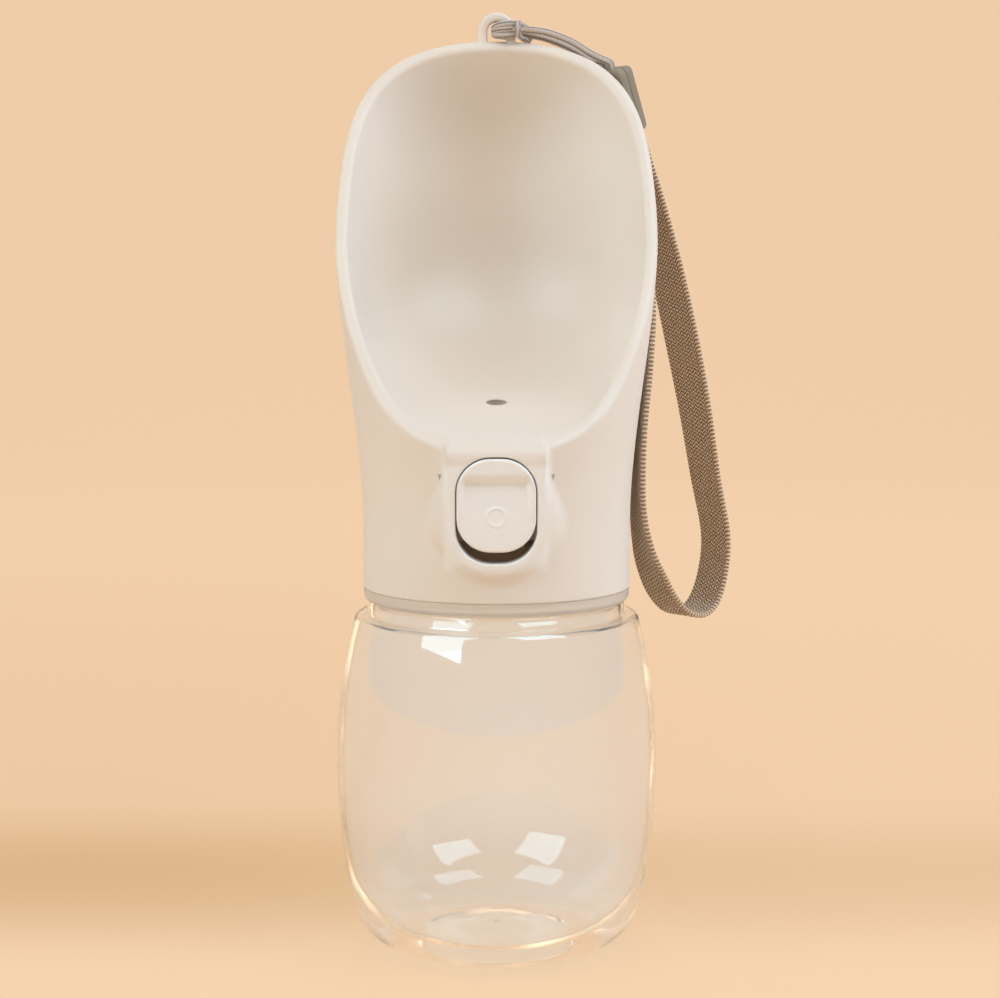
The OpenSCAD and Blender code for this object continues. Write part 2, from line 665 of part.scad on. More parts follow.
// Lug at the back of the dome, with the eye for the cord
module lug() {
    root = dome_surface(lug_y) - head_wall * 0.7;
    eye_r = lug_w / 2 - lug_wall;
    translate([0, lug_y + lug_t / 2, 0])
        rotate([90, 0, 0])
            linear_extrude(lug_t)
                difference() {
                    union() {
                        translate([0, lug_top - lug_w / 2])
                            circle(lug_w / 2);
                        translate([-lug_w / 2, root])
                            square([lug_w, lug_top - lug_w / 2 - root]);
                    }
                    translate([0, lug_top - lug_w / 2])
                        circle(eye_r);
                    translate([-eye_r, dome_surface(lug_y) + 0.3])
                        square([2 * eye_r, lug_top - lug_w / 2 - dome_surface(lug_y) - 0.3]);
                }
}

// White head: skirt, pad, trough and lug in one moulding
module head_shell() {
    slot_low = guide_foot - CUT;
    slot_high = axis_h + carriage_h / 2 + SLIDE;
    post_foot = axis_h + ear_low + ear_t;
    color([0.9, 0.87, 0.82])
        translate([0, 0, head_z]) {
            difference() {
                union() {
                    difference() {
                        union() {
                            rotate_extrude()
                                polygon(head_outline());
                            pad();
                        }
                        chamber_space();
                    }
                    // Guides of the lock carriage, posts of the valve housing and outlet socket
                    for (x = [-1, 1])
                        translate([x > 0 ? guide_in : -guide_in - guide_w, guide_front, guide_foot])
                            cube([guide_w, guide_end - guide_front, lip_h - guide_foot]);
                    for (x = [-ear_x, ear_x])
                        translate([x, ear_y, post_foot])
                            cylinder(outlet_h - post_foot, r = post_r);
                    translate([0, outlet_y, outlet_h - socket_h])
                        cylinder(socket_h - floor_t / 2, r = socket_r + socket_wall);
                }
                trough_space();
                rim_cut();
                rotate_extrude()
                    polygon(concat([[skirt_in_r - CUT, snap_h - snap_w / 2]], snap_ridge(skirt_in_r),
                        [[skirt_in_r - CUT, snap_h + snap_w / 2]]));
                facing_back(window_mid, pad_y - CUT)
                    linear_extrude(window_back - pad_y + CUT)
                        rounded_outline(window_w, window_h, window_corner_r);
                for (x = [-1, 1])
                    translate([x > 0 ? guide_in - CUT : -carriage_half_w - SLIDE,
                        carriage_y - SLIDE, slot_low])
                        cube([carriage_half_w + SLIDE - guide_in + CUT, carriage_t + 2 * SLIDE,
                            slot_high - slot_low]);
                for (x = [-ear_x, ear_x])
                    translate([x, ear_y, post_foot - CUT])
                        cylinder(screw_l - ear_t + CUT, r = screw_r);
                translate([0, outlet_y, outlet_h - socket_h - CUT])
                    cylinder(socket_top - outlet_h + socket_h + CUT, r = socket_r);
                translate([0, outlet_y, outlet_h - socket_h])
                    cylinder(2 * socket_h, r = outlet_d / 2);
            }
            lug();
        }
}

// Soft bush between the valve's spout and the outlet hole
module outlet_grommet() {
    foot = socket_top - grommet_h;
    color([0.88, 0.87, 0.84])
        translate([0, outlet_y, head_z + foot])
            difference() {
                cylinder(grommet_h, r = spout_out_r + grommet_wall);
                translate([0, 0, -CUT])
                    cylinder(grommet_h + 2 * CUT, r = outlet_d / 2);
                translate([0, 0, -CUT])
                    cylinder(axis_h + spout_h + FIT - foot + CUT, r = spout_out_r + CLOSE);
            }
}

// Valve housing: a tube across the head, with an inlet below, a spout above and two ears
module valve_housing() {
    color([0.8, 0.82, 0.84])
        translate([0, 0, head_z])
            difference() {
                union() {
                    facing_back(axis_h, housing_y)
                        cylinder(housing_end - housing_y, r = housing_r);
                    translate([0, inlet_y, collar_top + 0.2])
                        cylinder(axis_h - collar_top, r = inlet_out_r);
                    translate([0, outlet_y, axis_h])
                        cylinder(spout_h, r = spout_out_r);
                    translate([0, ear_y, axis_h + ear_low])
                        linear_extrude(ear_t) {
                            square([2 * ear_x, 2 * ear_r], center = true);
                            for (x = [-ear_x, ear_x])
                                translate([x, 0])
                                    circle(ear_r);
                        }
                }
                facing_back(axis_h, seat_y)
                    cylinder(housing_back + CUT, r = chamber_r);
                facing_back(axis_h, housing_y + gland_t)
                    cylinder(housing_front - gland_t + CUT, r = seat_r);
                facing_back(axis_h, housing_y - CUT)
                    cylinder(gland_t + 2 * CUT, r = stem_r + 0.08);
                facing_back(axis_h, housing_y - CUT)
                    cylinder(seal_d + FIT + CUT, r = seal_out_r);
                translate([0, inlet_y, collar_top])
                    cylinder(axis_h - collar_top, r = inlet_r);
                translate([0, outlet_y, axis_h])
                    cylinder(spout_h + CUT, r = spout_r);
                for (x = [-ear_x, ear_x])
                    translate([x, ear_y, axis_h])
                        cylinder(ear_low + ear_t + CUT, r = screw_r + 0.2);
            }
}

// Two screws that hold the valve housing up to the head's posts
module housing_screws() {
    color([0.7, 0.7, 0.72])
        for (x = [-ear_x, ear_x])
            translate([x, ear_y, head_z + axis_h + ear_low])
                difference() {
                    union() {
                        translate([0, 0, -screw_head_h])
                            cylinder(screw_head_h, r = screw_head_r);
                        cylinder(screw_l - screw_tip_gap, r = screw_r - CLOSE);
                    }
                    for (a = [0, 90])
                        rotate(a)
                            translate([-screw_slot_l / 2, -screw_slot_w / 2, -screw_head_h - CUT])
                                cube([screw_slot_l, screw_slot_w, screw_slot_d + CUT]);
                }
}

// Soft ring that seals the housing's inlet in the collar's cup
module inlet_seal() {
    color([0.35, 0.35, 0.35])
        translate([0, inlet_y, plate_top_z + inlet_seal_d / 2])
            o_ring(inlet_out_r + 0.03 + inlet_seal_d / 2, inlet_seal_d);
}

// Soft ring that seals the stem where it leaves the housing
module stem_seal() {
    color([0.35, 0.35, 0.35])
        facing_back(head_z + axis_h, housing_y + FIT / 2 + seal_d / 2)
            o_ring(stem_r + 0.03 + seal_d / 2, seal_d);
}

// Washer that keeps the stem's seal in the housing
module seal_retainer() {
    color([0.75, 0.77, 0.78])
        facing_back(head_z + axis_h, housing_y - retainer_t)
            difference() {
                cylinder(retainer_t, r = housing_r - 1);
                translate([0, 0, -CUT])
                    cylinder(retainer_t + 2 * CUT, r = stem_r + 0.3);
            }
}

// Stem from the button's boss, through the seal and the seat, to the stopper's collet
module valve_stem() {
    nose_l = 1.6;
    color([0.72, 0.73, 0.75])
        facing_back(head_z + axis_h, 0)
            rotate_extrude()
                polygon([[0, boss_end], [nose_r - 0.2, boss_end], [nose_r, boss_end + 0.2],
                    [nose_r, boss_end + nose_l], [stem_r, boss_end + nose_l + 0.8],
                    [stem_r, seat_y + stopper_t], [collet_r, seat_y + stopper_t],
                    [collet_r, spring_y], [spring_post_r, spring_y],
                    [spring_post_r, spring_y + collet_post_l], [0, spring_y + collet_post_l]]);
}

// Soft stopper that closes the housing's seat
module valve_stopper() {
    color([0.9, 0.45, 0.3])
        facing_back(head_z + axis_h, seat_y)
            difference() {
                rotate_extrude()
                    polygon([[0, 0], [stopper_r - 0.3, 0], [stopper_r, 0.3], [stopper_r, stopper_t - 0.6],
                        [stopper_r - 0.6, stopper_t], [0, stopper_t]]);
                translate([0, 0, -CUT])
                    cylinder(stopper_t + 2 * CUT, r = stem_r + 0.02);
            }
}

// Spring that presses the stopper onto its seat
module return_spring() {
    color([0.75, 0.75, 0.78])
        facing_back(head_z + axis_h, spring_y)
            wire_spring(return_mean_r, return_wire, spring_end - spring_y, return_curls);
}

// Plug that closes the back of the housing and backs the return spring
module spring_cap() {
    color([0.8, 0.82, 0.84])
        facing_back(head_z + axis_h, 0)
            rotate_extrude()
                polygon([[0, spring_end - plug_nose_l], [spring_post_r, spring_end - plug_nose_l],
                    [spring_post_r, spring_end], [chamber_r - CLOSE, spring_end],
                    [chamber_r - CLOSE, housing_end], [plug_rim_r, housing_end],
                    [plug_rim_r, housing_end + plug_rim_t], [0, housing_end + plug_rim_t]]);
}

// Plate that slides up and down in the head's guides and carries the button
module lock_carriage() {
    color([0.55, 0.57, 0.6])
        facing_back(head_z + axis_h, carriage_y)
            difference() {
                linear_extrude(carriage_t)
                    rounded_outline(2 * carriage_half_w, carriage_h, 1);
                translate([0, 0, -CUT])
                    cylinder(carriage_t + 2 * CUT, r = boss_r + FIT);
            }
}

// Side view of the button's cap: a thumb ridge at the top that rolls back into a dished face
module cap_profile() {
    ridge_low = button_top - ridge_h - axis_h;
    half = button_h / 2;
    ridge_roll = 1.2;
    rotate([90, 0, 90])
        linear_extrude(button_w + 2, center = true)
            polygon(concat(
                [[cap_back, -half], [cap_front + 0.9, -half], [cap_front + 0.3, -half + 1]],
                [for (i = [0 : 6]) let (t = i / 6)
                    [cap_front + 0.3 + (ridge_drop - 0.3) * ease(t),
                        -half + 1 + (ridge_low + half - 1) * t]],
                [for (i = [0 : 4]) let (a = 22.5 * i)
                    [cap_front + (ridge_drop - 0.2) * (1 - sin(a)), ridge_low + ridge_roll * (1 - cos(a))]],
                [[cap_front, half - 1.4], [cap_front + 0.5, half - 0.4], [cap_front + 1, half],
                    [cap_back, half]]));
}

// Button: a cap in the window, with a boss that passes through the carriage.
// When the button is locked down, the stem's nose faces the pocket in the boss.
module button_cap() {
    color([0.9, 0.87, 0.82])
        translate([0, 0, head_z + axis_h])
            difference() {
                union() {
                    intersection() {
                        facing_back(0, cap_front - CUT)
                            linear_extrude(cap_t + 2 * CUT)
                                rounded_outline(button_w, button_h, window_corner_r - button_gap);
                        cap_profile();
                    }
                    facing_back(0, cap_back - 0.5)
                        cylinder(boss_end - cap_back + 0.5, r = boss_r);
                    facing_back(0, carriage_back + FIT)
                        cylinder(boss_tip_l, r = boss_tip_r);
                }
                facing_back(lock_travel, boss_end - press_travel - SLIDE)
                    cylinder(press_travel + SLIDE + CUT, r = pocket_r);
            }
}

// Light spring that holds the button forwards on its carriage
module button_spring() {
    color([0.75, 0.75, 0.78])
        facing_back(head_z + axis_h, cap_back)
            wire_spring(button_mean_r, button_wire, carriage_y - cap_back, button_curls);
}

// Cord from the clasp, round the lug's leg and back
module strap_cord() {
    color([0.62, 0.6, 0.57])
        translate([0, 0, head_z])
            skin([for (i = [0 : len(cord_route) - 1])
                let (t = heading(cord_route, i), side = unit(cross([0, 0, 1], t)), up = cross(t, side))
                [for (k = [0 : cord_sides - 1]) let (a = 360 * k / cord_sides)
                    cord_route[i] + cord_d / 2 * (side * cos(a) + up * sin(a))]]);
}

// One half of the clasp, on the side of its inner face when side is -1
module clasp_half(side) {
    translate([0, 0, head_z])
        translate([clasp_r * cos(clasp_az), clasp_r * sin(clasp_az), clasp_h])
            rotate([0, -clasp_tilt, clasp_az])
                translate([side > 0 ? 0 : -clasp_t / 2, 0, 0])
                    rotate([90, 0, 90])
                        linear_extrude(clasp_t / 2)
                            rounded_outline(clasp_w, clasp_l, clasp_corner_r);
}

// Outer half of the clasp
module clasp_front() {
    color([0.5, 0.5, 0.45])
        clasp_half(1);
}

// Inner half of the clasp
module clasp_back() {
    color([0.46, 0.46, 0.42])
        clasp_half(-1);
}

// Webbing loop, from the clasp down the inner leg and up the outer leg
module strap_webbing() {
    half_w = webbing_w / 2;
    half_t = webbing_t / 2;
    bevel = 0.4;
    section = [[half_w, half_t - bevel], [half_w - bevel, half_t], [bevel - half_w, half_t],
        [-half_w, half_t - bevel], [-half_w, bevel - half_t], [bevel - half_w, -half_t],
        [half_w - bevel, -half_t], [half_w, bevel - half_t]];
    color([0.48, 0.42, 0.36])
        translate([0, 0, head_z])
            skin([for (i = [0 : len(webbing_route) - 1])
                let (t = heading(webbing_route, i), a = webbing_route[i][3], flat = [-sin(a), cos(a), 0],
                    across = unit(flat - (flat * t) * t), face = cross(t, across))
                [for (p = section) xyz(webbing_route[i]) + p[0] * across + p[1] * face]]);
}

bottle();
mouth_gasket();
thread_collar();
vent_valve();
head_shell();
outlet_grommet();
valve_housing();
housing_screws();
inlet_seal();
stem_seal();
seal_retainer();
valve_stem();
valve_stopper();
return_spring();
spring_cap();
lock_carriage();
button_cap();
button_spring();
strap_cord();
clasp_front();
clasp_back();
strap_webbing();
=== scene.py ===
from math import asin, copysign, cos, degrees, hypot, pi, radians, sin, sqrt, tan, tau

import bmesh
import bpy
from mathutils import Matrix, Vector


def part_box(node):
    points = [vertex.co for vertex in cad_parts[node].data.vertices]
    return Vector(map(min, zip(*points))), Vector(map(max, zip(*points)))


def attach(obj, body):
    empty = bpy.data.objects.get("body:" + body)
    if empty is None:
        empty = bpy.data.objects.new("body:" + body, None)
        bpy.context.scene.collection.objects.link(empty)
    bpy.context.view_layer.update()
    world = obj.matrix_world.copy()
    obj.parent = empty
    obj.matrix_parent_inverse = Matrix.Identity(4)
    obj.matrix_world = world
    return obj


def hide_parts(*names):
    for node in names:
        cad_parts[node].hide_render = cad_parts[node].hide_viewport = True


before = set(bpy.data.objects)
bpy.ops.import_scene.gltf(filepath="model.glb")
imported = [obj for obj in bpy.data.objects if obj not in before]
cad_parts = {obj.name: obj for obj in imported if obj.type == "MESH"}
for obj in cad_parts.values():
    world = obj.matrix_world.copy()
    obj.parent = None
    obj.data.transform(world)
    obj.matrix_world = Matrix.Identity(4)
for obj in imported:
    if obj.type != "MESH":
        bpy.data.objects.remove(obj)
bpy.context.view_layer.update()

bl_info = {
    "name": "Dog travel water bottle",
    "version": (1, 0, 0),
    "blender": (4, 5, 0),
    "location": "3D View > Sidebar > Water Bottle",
    "description": "Models the visible pieces and finishes of a dog travel water bottle "
                   "around its packed parts",
    "category": "Add Mesh",
}

MM = 0.001
# Names of this file's settings on the scene
SIZES = "water_bottle_sizes"
COLOURS = "water_bottle_colours"

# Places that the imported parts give
HEAD_LOW, HEAD_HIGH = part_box("head_shell")
BUTTON_LOW, BUTTON_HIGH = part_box("button_cap")
COLLAR_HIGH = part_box("thread_collar")[1]
BOTTLE_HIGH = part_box("bottle")[1]
HEAD_Z = HEAD_LOW.z
HEAD_R = HEAD_HIGH.x
SKIRT_R = COLLAR_HIGH.x + 0.1 * MM
BUTTON_MIDDLE = (BUTTON_HIGH.z + BUTTON_LOW.z) / 2


def length(name, description, default):
    """A size that a user may change, in metres."""
    return bpy.props.FloatProperty(
        name=name, description=description, default=default, unit="LENGTH", precision=5)


def colour(name, description, default):
    """A colour that a user may change."""
    return bpy.props.FloatVectorProperty(
        name=name, description=description, default=default, size=3, min=0, max=1, subtype="COLOR")


class BottleSizes(bpy.types.PropertyGroup):
    """Sizes that shape the visible pieces"""
    head_wall: length("Head wall", "Thickness of the head's wall", 2.8 * MM)
    head_h: length("Head height", "Lower edge of the head to the top of its dome", 128.4 * MM)
    rim_round: length("Rim rounding", "Distance that the rim's rounding takes on each side", 1.35 * MM)
    pad_face: length("Pad face", "How far the pad's face lies in front of the axis", 32.2 * MM)
    window_w: length("Window width", "Width of the button's window", 18.1 * MM)
    window_h: length("Window height", "Height of the button's window", 23.5 * MM)
    bottle_wall: length("Bottle wall", "Thickness of the bottle's wall", 1.3 * MM)
    cord_d: length("Cord diameter", "Diameter of the strap's cord", 1.7 * MM)
    webbing_w: length("Webbing width", "Width of the strap's webbing", 10 * MM)
    webbing_t: length("Webbing thickness", "Thickness of the strap's webbing", 1.2 * MM)


class BottleColours(bpy.types.PropertyGroup):
    """Colours of the finishes"""
    shell: colour("Head", "White moulded plastic of the head", (0.825, 0.775, 0.72))
    # Painted light: the button's colour is the head's white made lighter and whiter, standing in for the
    # light on its front-facing face; it also paints the pad round the button
    button: colour("Button", "White polished plastic of the button and its pad", (0.89, 0.90, 0.915))
    clear: colour("Bottle", "Tint of the clear plastic", (0.975, 0.98, 0.985))
    collar: colour("Collar", "Tint of the milky ring", (1.0, 0.91, 0.83))
    webbing: colour("Webbing", "Woven strap", (0.55, 0.385, 0.265))
    cord: colour("Cord", "Braided cord", (0.55, 0.47, 0.42))
    clasp: colour("Clasp", "Moulded clasp of the strap", (0.30, 0.26, 0.20))
    backdrop: colour("Backdrop", "Floor and backdrop", (0.871, 0.624, 0.407))


def sizes():
    """The size settings."""
    return getattr(bpy.context.scene, SIZES)


def colours():
    """The colour settings."""
    return getattr(bpy.context.scene, COLOURS)


class Signal:
    """A socket's value, which takes part in sums as a number does."""

    def __init__(self, finish, socket):
        self.finish = finish
        self.socket = socket

    def maths(self, operation, *others, swapped=False):
        """The result of a Math node on this value and others."""
        values = [self, *others]
        if swapped:
            values.reverse()
        return self.finish.node("Math", values, operation=operation)

    def __add__(self, other):
        return self.maths("ADD", other)

    __radd__ = __add__

    def __sub__(self, other):
        return self.maths("SUBTRACT", other)

    def __rsub__(self, other):
        return self.maths("SUBTRACT", other, swapped=True)

    def __mul__(self, other):
        return self.maths("MULTIPLY", other)

    def __truediv__(self, other):
        return self.maths("DIVIDE", other)

    def __pow__(self, other):
        return self.maths("POWER", other)

    def most(self, other):
        """The higher of two values."""
        return self.maths("MAXIMUM", other)

    def folded(self):
        """Distance from zero."""
        return self.maths("ABSOLUTE")

    def wave(self):
        """Sine of this value in radians, brought between 0 and 1."""
        return self.maths("SINE") * 0.5 + 0.5

    def rows(self):
        """Distance from the middle between two whole numbers, at most a half."""
        return (self.maths("FRACT") - 0.5).folded()

    def step(self, low, high):
        """0 below low, 1 above high and smooth between."""
        limits = {"Value": self, "From Min": low, "From Max": high}
        return self.finish.node("MapRange", limits, interpolation_type="SMOOTHSTEP")


class Finish:
    """A procedural material with one Principled shader, or another tree of nodes."""

    def __init__(self, name, tree=None, **constants):
        if tree is None:
            self.material = bpy.data.materials.new(name)
            self.material.use_nodes = True
            tree = self.material.node_tree
        self.tree = tree
        self.shader = tree.nodes.get("Principled BSDF")
        for socket, value in constants.items():
            self.feed(self.shader.inputs[socket.replace("_", " ")], value)

    def feed(self, target, value):
        """Links a signal to a socket, or sets the socket to a constant."""
        if isinstance(value, Signal):
            self.tree.links.new(value.socket, target)
        elif target.type == "RGBA" and len(value) == 3:
            target.default_value = (*value, 1)
        else:
            target.default_value = value

    def node(self, kind, inputs, output=0, **settings):
        """Adds a node, with its settings first and then its inputs, and gives one of its outputs."""
        node = self.tree.nodes.new("ShaderNode" + kind)
        for key, value in settings.items():
            setattr(node, key, value)
        for key, value in inputs.items() if isinstance(inputs, dict) else enumerate(inputs):
            self.feed(node.inputs[key], value)
        return Signal(self, node.outputs[output])

    def axes(self, kind, count):
        """The first axes of the Object coordinates, or of the piece's own UV map in metres: its
        place across the piece and along it."""
        whole = self.node("TexCoord", {}, kind)
        return [self.node("SeparateXYZ", [whole], axis) for axis in range(count)]

    def ray(self, kind):
        """1 for rays of one kind, 0 for all others."""
        return self.node("LightPath", {}, "Is %s Ray" % kind)

    def noise(self, scale, detail=2, roughness=0.5):
        """Fine even noise around 0.5."""
        place = self.node("TexCoord", {}, "Object")
        return self.node("TexNoise", {
            "Vector": place, "Scale": scale, "Detail": detail, "Roughness": roughness})

    def blend(self, amount, first, second):
        """Mixes two colours."""
        return self.node("Mix", {"Factor": amount, 6: first, 7: second}, 2, data_type="RGBA")

    def made(self, rgb, roughness, height, strength, distance):
        """Gives the shader its colour, its roughness and a bumped normal. Gives the material."""
        bump = self.node("Bump", {"Height": height, "Strength": strength, "Distance": distance})
        for socket, value in (("Base Color", rgb), ("Roughness", roughness), ("Normal", bump)):
            self.feed(self.shader.inputs[socket], value)
        return self.material


def shade(rgb, by):
    """A colour made lighter or darker."""
    return tuple(min(1, c * by) for c in rgb)


def moulded(name, rgb, roughness, grain=0.03, marks=None):
    """Moulded plastic: a fine spark-eroded grain, faint flow marks and slightly uneven gloss."""
    finish = Finish(name, IOR=1.46, Specular_IOR_Level=0.2)
    flow = finish.noise(38)
    tooth = finish.noise(5200, roughness=0.6)
    tint = finish.blend(flow.step(0.35, 0.7), shade(rgb, 0.985), shade(rgb, 1.012))
    # A marks function may paint light and shade into the colour, as it does on the head
    if marks:
        tint = marks(finish, tint)
    return finish.made(tint, roughness + (flow - 0.5) * 0.08 + (tooth - 0.5) * 0.06,
                       tooth, grain, 0.12 * MM)


def head_painted_light_and_shade(finish, plain):
    """The head's colour with painted light on the pad round the button, which is painted lighter and
    whiter in the button's colour for the light on its front-facing face, and with a small grey wedge
    painted on each side of the button as the shade of a small recess."""
    x, y, z = finish.axes("Object", 3)
    front = 1 - y.step(-20 * MM, -19 * MM)
    low, high = z - HEAD_Z - WINDOW_LOW + 3 * MM, z - HEAD_Z - PAD_LIGHT_TOP
    sides = x.folded().step(PAD_LIGHT_SIDE, PAD_LIGHT_SIDE + 1.8 * MM)
    # Painted light: the pad's front face is painted in the button's lighter, whiter colour, standing in
    # for the light that falls on it
    pad = (1 - sides) * low.step(0, 4 * MM) * (1 - high.step(0, 2 * MM))
    # Painted shade: a small grey wedge on each side of the button stands in for the shade in a small
    # recess
    across = (x.folded() - MARK_X).folded() / MARK_SIZE
    height = (z - HEAD_Z - MARK_H) / MARK_SIZE
    wedge = ((height + 1) * 0.28 - across).step(0, 0.12) * (1 - height.step(0.9, 1))
    light = finish.blend(pad * front, plain, colours().button)
    return finish.blend(wedge * front * 0.75, light, (0.30, 0.28, 0.28))


def clear_plastic(name, rgb, roughness, transmission, haze=0.02, ior=1.05, coat=1.0):
    """Clear or milky plastic: a glossy skin over a body with slow waves and a little uneven haze."""
    finish = Finish(name, IOR=ior, Transmission_Weight=transmission, Coat_Weight=coat,
                    Coat_Roughness=0.02, Coat_IOR=1.5)
    waves = finish.noise(26, 1, 0.4)
    specks = finish.noise(900).step(0.55, 0.75)
    return finish.made(rgb, roughness + specks * haze, waves, 0.12, 0.8 * MM)


def silicone(name, rgb):
    """Soft silicone or rubber: matt, with a slight bloom."""
    finish = Finish(name, Sheen_Weight=0.15, IOR=1.41)
    bloom = finish.noise(420, 3)
    tint = finish.blend(bloom.step(0.3, 0.75), shade(rgb, 0.94), shade(rgb, 1.04))
    return finish.made(tint, bloom * 0.16 + 0.48, bloom, 0.08, 0.2 * MM)


def spring_steel(name):
    """Drawn steel wire: fine marks and a bright, slightly uneven surface."""
    finish = Finish(name, Metallic=1.0)
    marks = finish.noise(2600)
    tint = finish.blend(marks, (0.60, 0.59, 0.57), (0.74, 0.73, 0.71))
    return finish.made(tint, marks * 0.14 + 0.22, marks, 0.1, 0.1 * MM)


def woven_webbing(name, rgb):
    """Woven webbing: zigzag picks between lengthwise yarns, and looped edges, with painted light on the
    raised yarns and loops and painted shade in the low parts.
    """
    finish = Finish(name, Sheen_Weight=0.2, Sheen_Roughness=0.5)
    across, along_it = finish.axes("UV", 2)
    half, pick, column = sizes().webbing_w / 2, 0.95 * MM, 1.7 * MM
    picks = ((along_it / pick + (across / column).rows() * 2) * tau).wave()
    yarns = (across / (column / 2)).rows() * 2
    loops = (along_it / pick * tau).wave()
    edge = across.folded().step(half - 0.75 * MM, half - 0.5 * MM)
    height = picks * (yarns * 0.45 + 0.55) * (1 - edge) + loops * edge
    fuzz = finish.noise(2400)
    # Painted light and shade: the weave's raised parts are painted lighter and its low parts darker
    light = (height * 0.8 + fuzz * 0.2).step(0.08, 0.9)
    body = finish.blend(light, shade(rgb, 0.36), shade(rgb, 2.0))
    # Painted light and shade on the looped edges: lighter on the loops, darker between them
    rim = finish.blend(loops, shade(rgb, 0.5), shade(rgb, 1.9))
    return finish.made(finish.blend(edge, body, rim), fuzz * 0.2 + 0.7,
                       height + fuzz * 0.15, 0.9, 0.4 * MM)


def braided_cord(name, rgb):
    """Round braided cord: ribs along it, each a row of small slanted stitches, with painted shade in the
    grooves between the ribs and painted light on the stitches.
    """
    finish = Finish(name, Sheen_Weight=0.25, Sheen_Roughness=0.5)
    around, along_it = finish.axes("UV", 2)
    rib = around.rows() * 2
    stitches = ((along_it / (0.9 * MM) + rib) * tau).wave()
    fuzz = finish.noise(3000)
    height = (1 - rib ** 2) * (stitches * 0.25 + 0.75)
    # Painted light and shade: the raised stitches are painted lighter and the grooves between the ribs
    # darker
    light = (height * 0.85 + fuzz * 0.15).step(0.1, 0.6)
    return finish.made(finish.blend(light, shade(rgb, 0.26), shade(rgb, 1.05)), fuzz * 0.2 + 0.7,
                       height + fuzz * 0.2, 0.9, 0.3 * MM)


def studio_paper(name, rgb):
    """Seamless paper: it takes the object's shadow, and shows its own colour with a soft warm painted
    shadow behind the object to the camera, in reflections and through the clear bottle."""
    finish = Finish(name)
    x, y = finish.axes("Object", 2)
    # A soft warm shadow is painted on the floor behind the object, most of it to the left
    near = (1 - ((y - 0.056) / 0.08).folded().step(0, 1)) * 0.62
    wide = (1 - y.step(0, 0.9)) * y.step(-0.03, 0.03) * 0.38
    painted_shadow = (near + wide) * (1 - x.step(-0.12, 0.12) * 0.48)
    painted_shadow_colour = tuple(value * part for value, part in zip(rgb, (0.80, 0.72, 0.61)))
    paper = finish.blend(painted_shadow, rgb, painted_shadow_colour)
    glow = finish.node("Emission", {"Color": paper, "Strength": 1.07})
    seen = finish.ray("Camera").most(finish.ray("Glossy")).most(finish.ray("Transmission"))
    lit = Signal(finish, finish.shader.outputs[0])
    mix = finish.node("MixShader", [seen * 0.85, lit, glow])
    finish.feed(finish.tree.nodes["Material Output"].inputs["Surface"], mix)
    return finish.made(paper, 0.85, finish.noise(700), 0.05, 0.4 * MM)


def clear_selection():
    """Deselects everything."""
    bpy.ops.object.select_all(action="DESELECT")


def choose(piece):
    """Selects one piece and makes it active."""
    clear_selection()
    piece.select_set(True)
    bpy.context.view_layer.objects.active = piece


def name_new(name):
    """Names the primitive that was just added."""
    piece = bpy.context.object
    piece.name = name
    piece.data.name = name
    return piece


def place_chosen(piece, ring):
    """Moves the chosen vertices of a piece in edit mode onto the points of a ring."""
    mesh = bmesh.from_edit_mesh(piece.data)
    chosen = [v for v in mesh.verts if v.select]
    for vertex, point in zip(chosen, ring):
        vertex.co = point
    bmesh.update_edit_mesh(piece.data)


def choose_run(piece, first, count):
    """Chooses a run of vertices of a piece in edit mode, by their numbers."""
    bpy.ops.mesh.select_all(action="DESELECT")
    mesh = bmesh.from_edit_mesh(piece.data)
    for vertex in mesh.verts:
        vertex.select = first <= vertex.index < first + count
    mesh.select_flush(True)
    bmesh.update_edit_mesh(piece.data)


def loft(name, rings, start="face", end="face", angle=35):
    """Adds a circle and extrudes it from ring to ring. Each end is closed by a face, or drawn to a
    point, or joined to the other end, which then has the same points."""
    n = len(rings[0])
    clear_selection()
    bpy.ops.mesh.primitive_circle_add(vertices=n)
    piece = name_new(name)
    bpy.ops.object.mode_set(mode="EDIT")
    for i, ring in enumerate(rings):
        if i > 0:
            bpy.ops.mesh.extrude_edges_move()
        place_chosen(piece, ring)
    for way, first in ((start, 0), (end, n * (len(rings) - 1))):
        if way == "face":
            choose_run(piece, first, n)
            bpy.ops.mesh.edge_face_add()
    if "point" in (start, end) or "join" in (start, end):
        bpy.ops.mesh.select_all(action="SELECT")
        bpy.ops.mesh.remove_doubles(threshold=0.002 * MM)
    finish_mesh(piece, angle)
    return piece


def smooth(piece, angle):
    """Smooths a piece where its faces meet at less than an angle in degrees."""
    choose(piece)
    bpy.ops.object.shade_smooth_by_angle(angle=radians(angle))


def finish_mesh(piece, angle=35):
    """Points the faces outwards, leaves edit mode and smooths what isn't a sharp edge."""
    if bpy.context.mode != "EDIT_MESH":
        choose(piece)
        bpy.ops.object.mode_set(mode="EDIT")
    bpy.ops.mesh.select_all(action="SELECT")
    bpy.ops.mesh.normals_make_consistent(inside=False)
    bpy.ops.object.mode_set(mode="OBJECT")
    smooth(piece, angle)


def cut_away(piece, cutter):
    """Cuts the cutter's shape out of a piece."""
    choose(piece)
    bpy.ops.object.modifier_add(type="BOOLEAN")
    modifier = piece.modifiers[-1]
    modifier.operation = "DIFFERENCE"
    modifier.solver = "EXACT"
    modifier.object = cutter
    bpy.ops.object.modifier_apply(modifier=modifier.name)
    bpy.data.objects.remove(cutter)


def dress(piece, finish, body, slot, *nodes):
    """Gives a piece its finish and its body, and the nodes that it stands for. The slot is not used."""
    piece.data.materials.clear()
    piece.data.materials.append(finish)
    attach(piece, body)
    if nodes:
        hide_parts(*nodes)
    return piece


def ease(t):
    """Smooth step from 0 to 1."""
    t = min(1, max(0, t))
    return t * t * (3 - 2 * t)


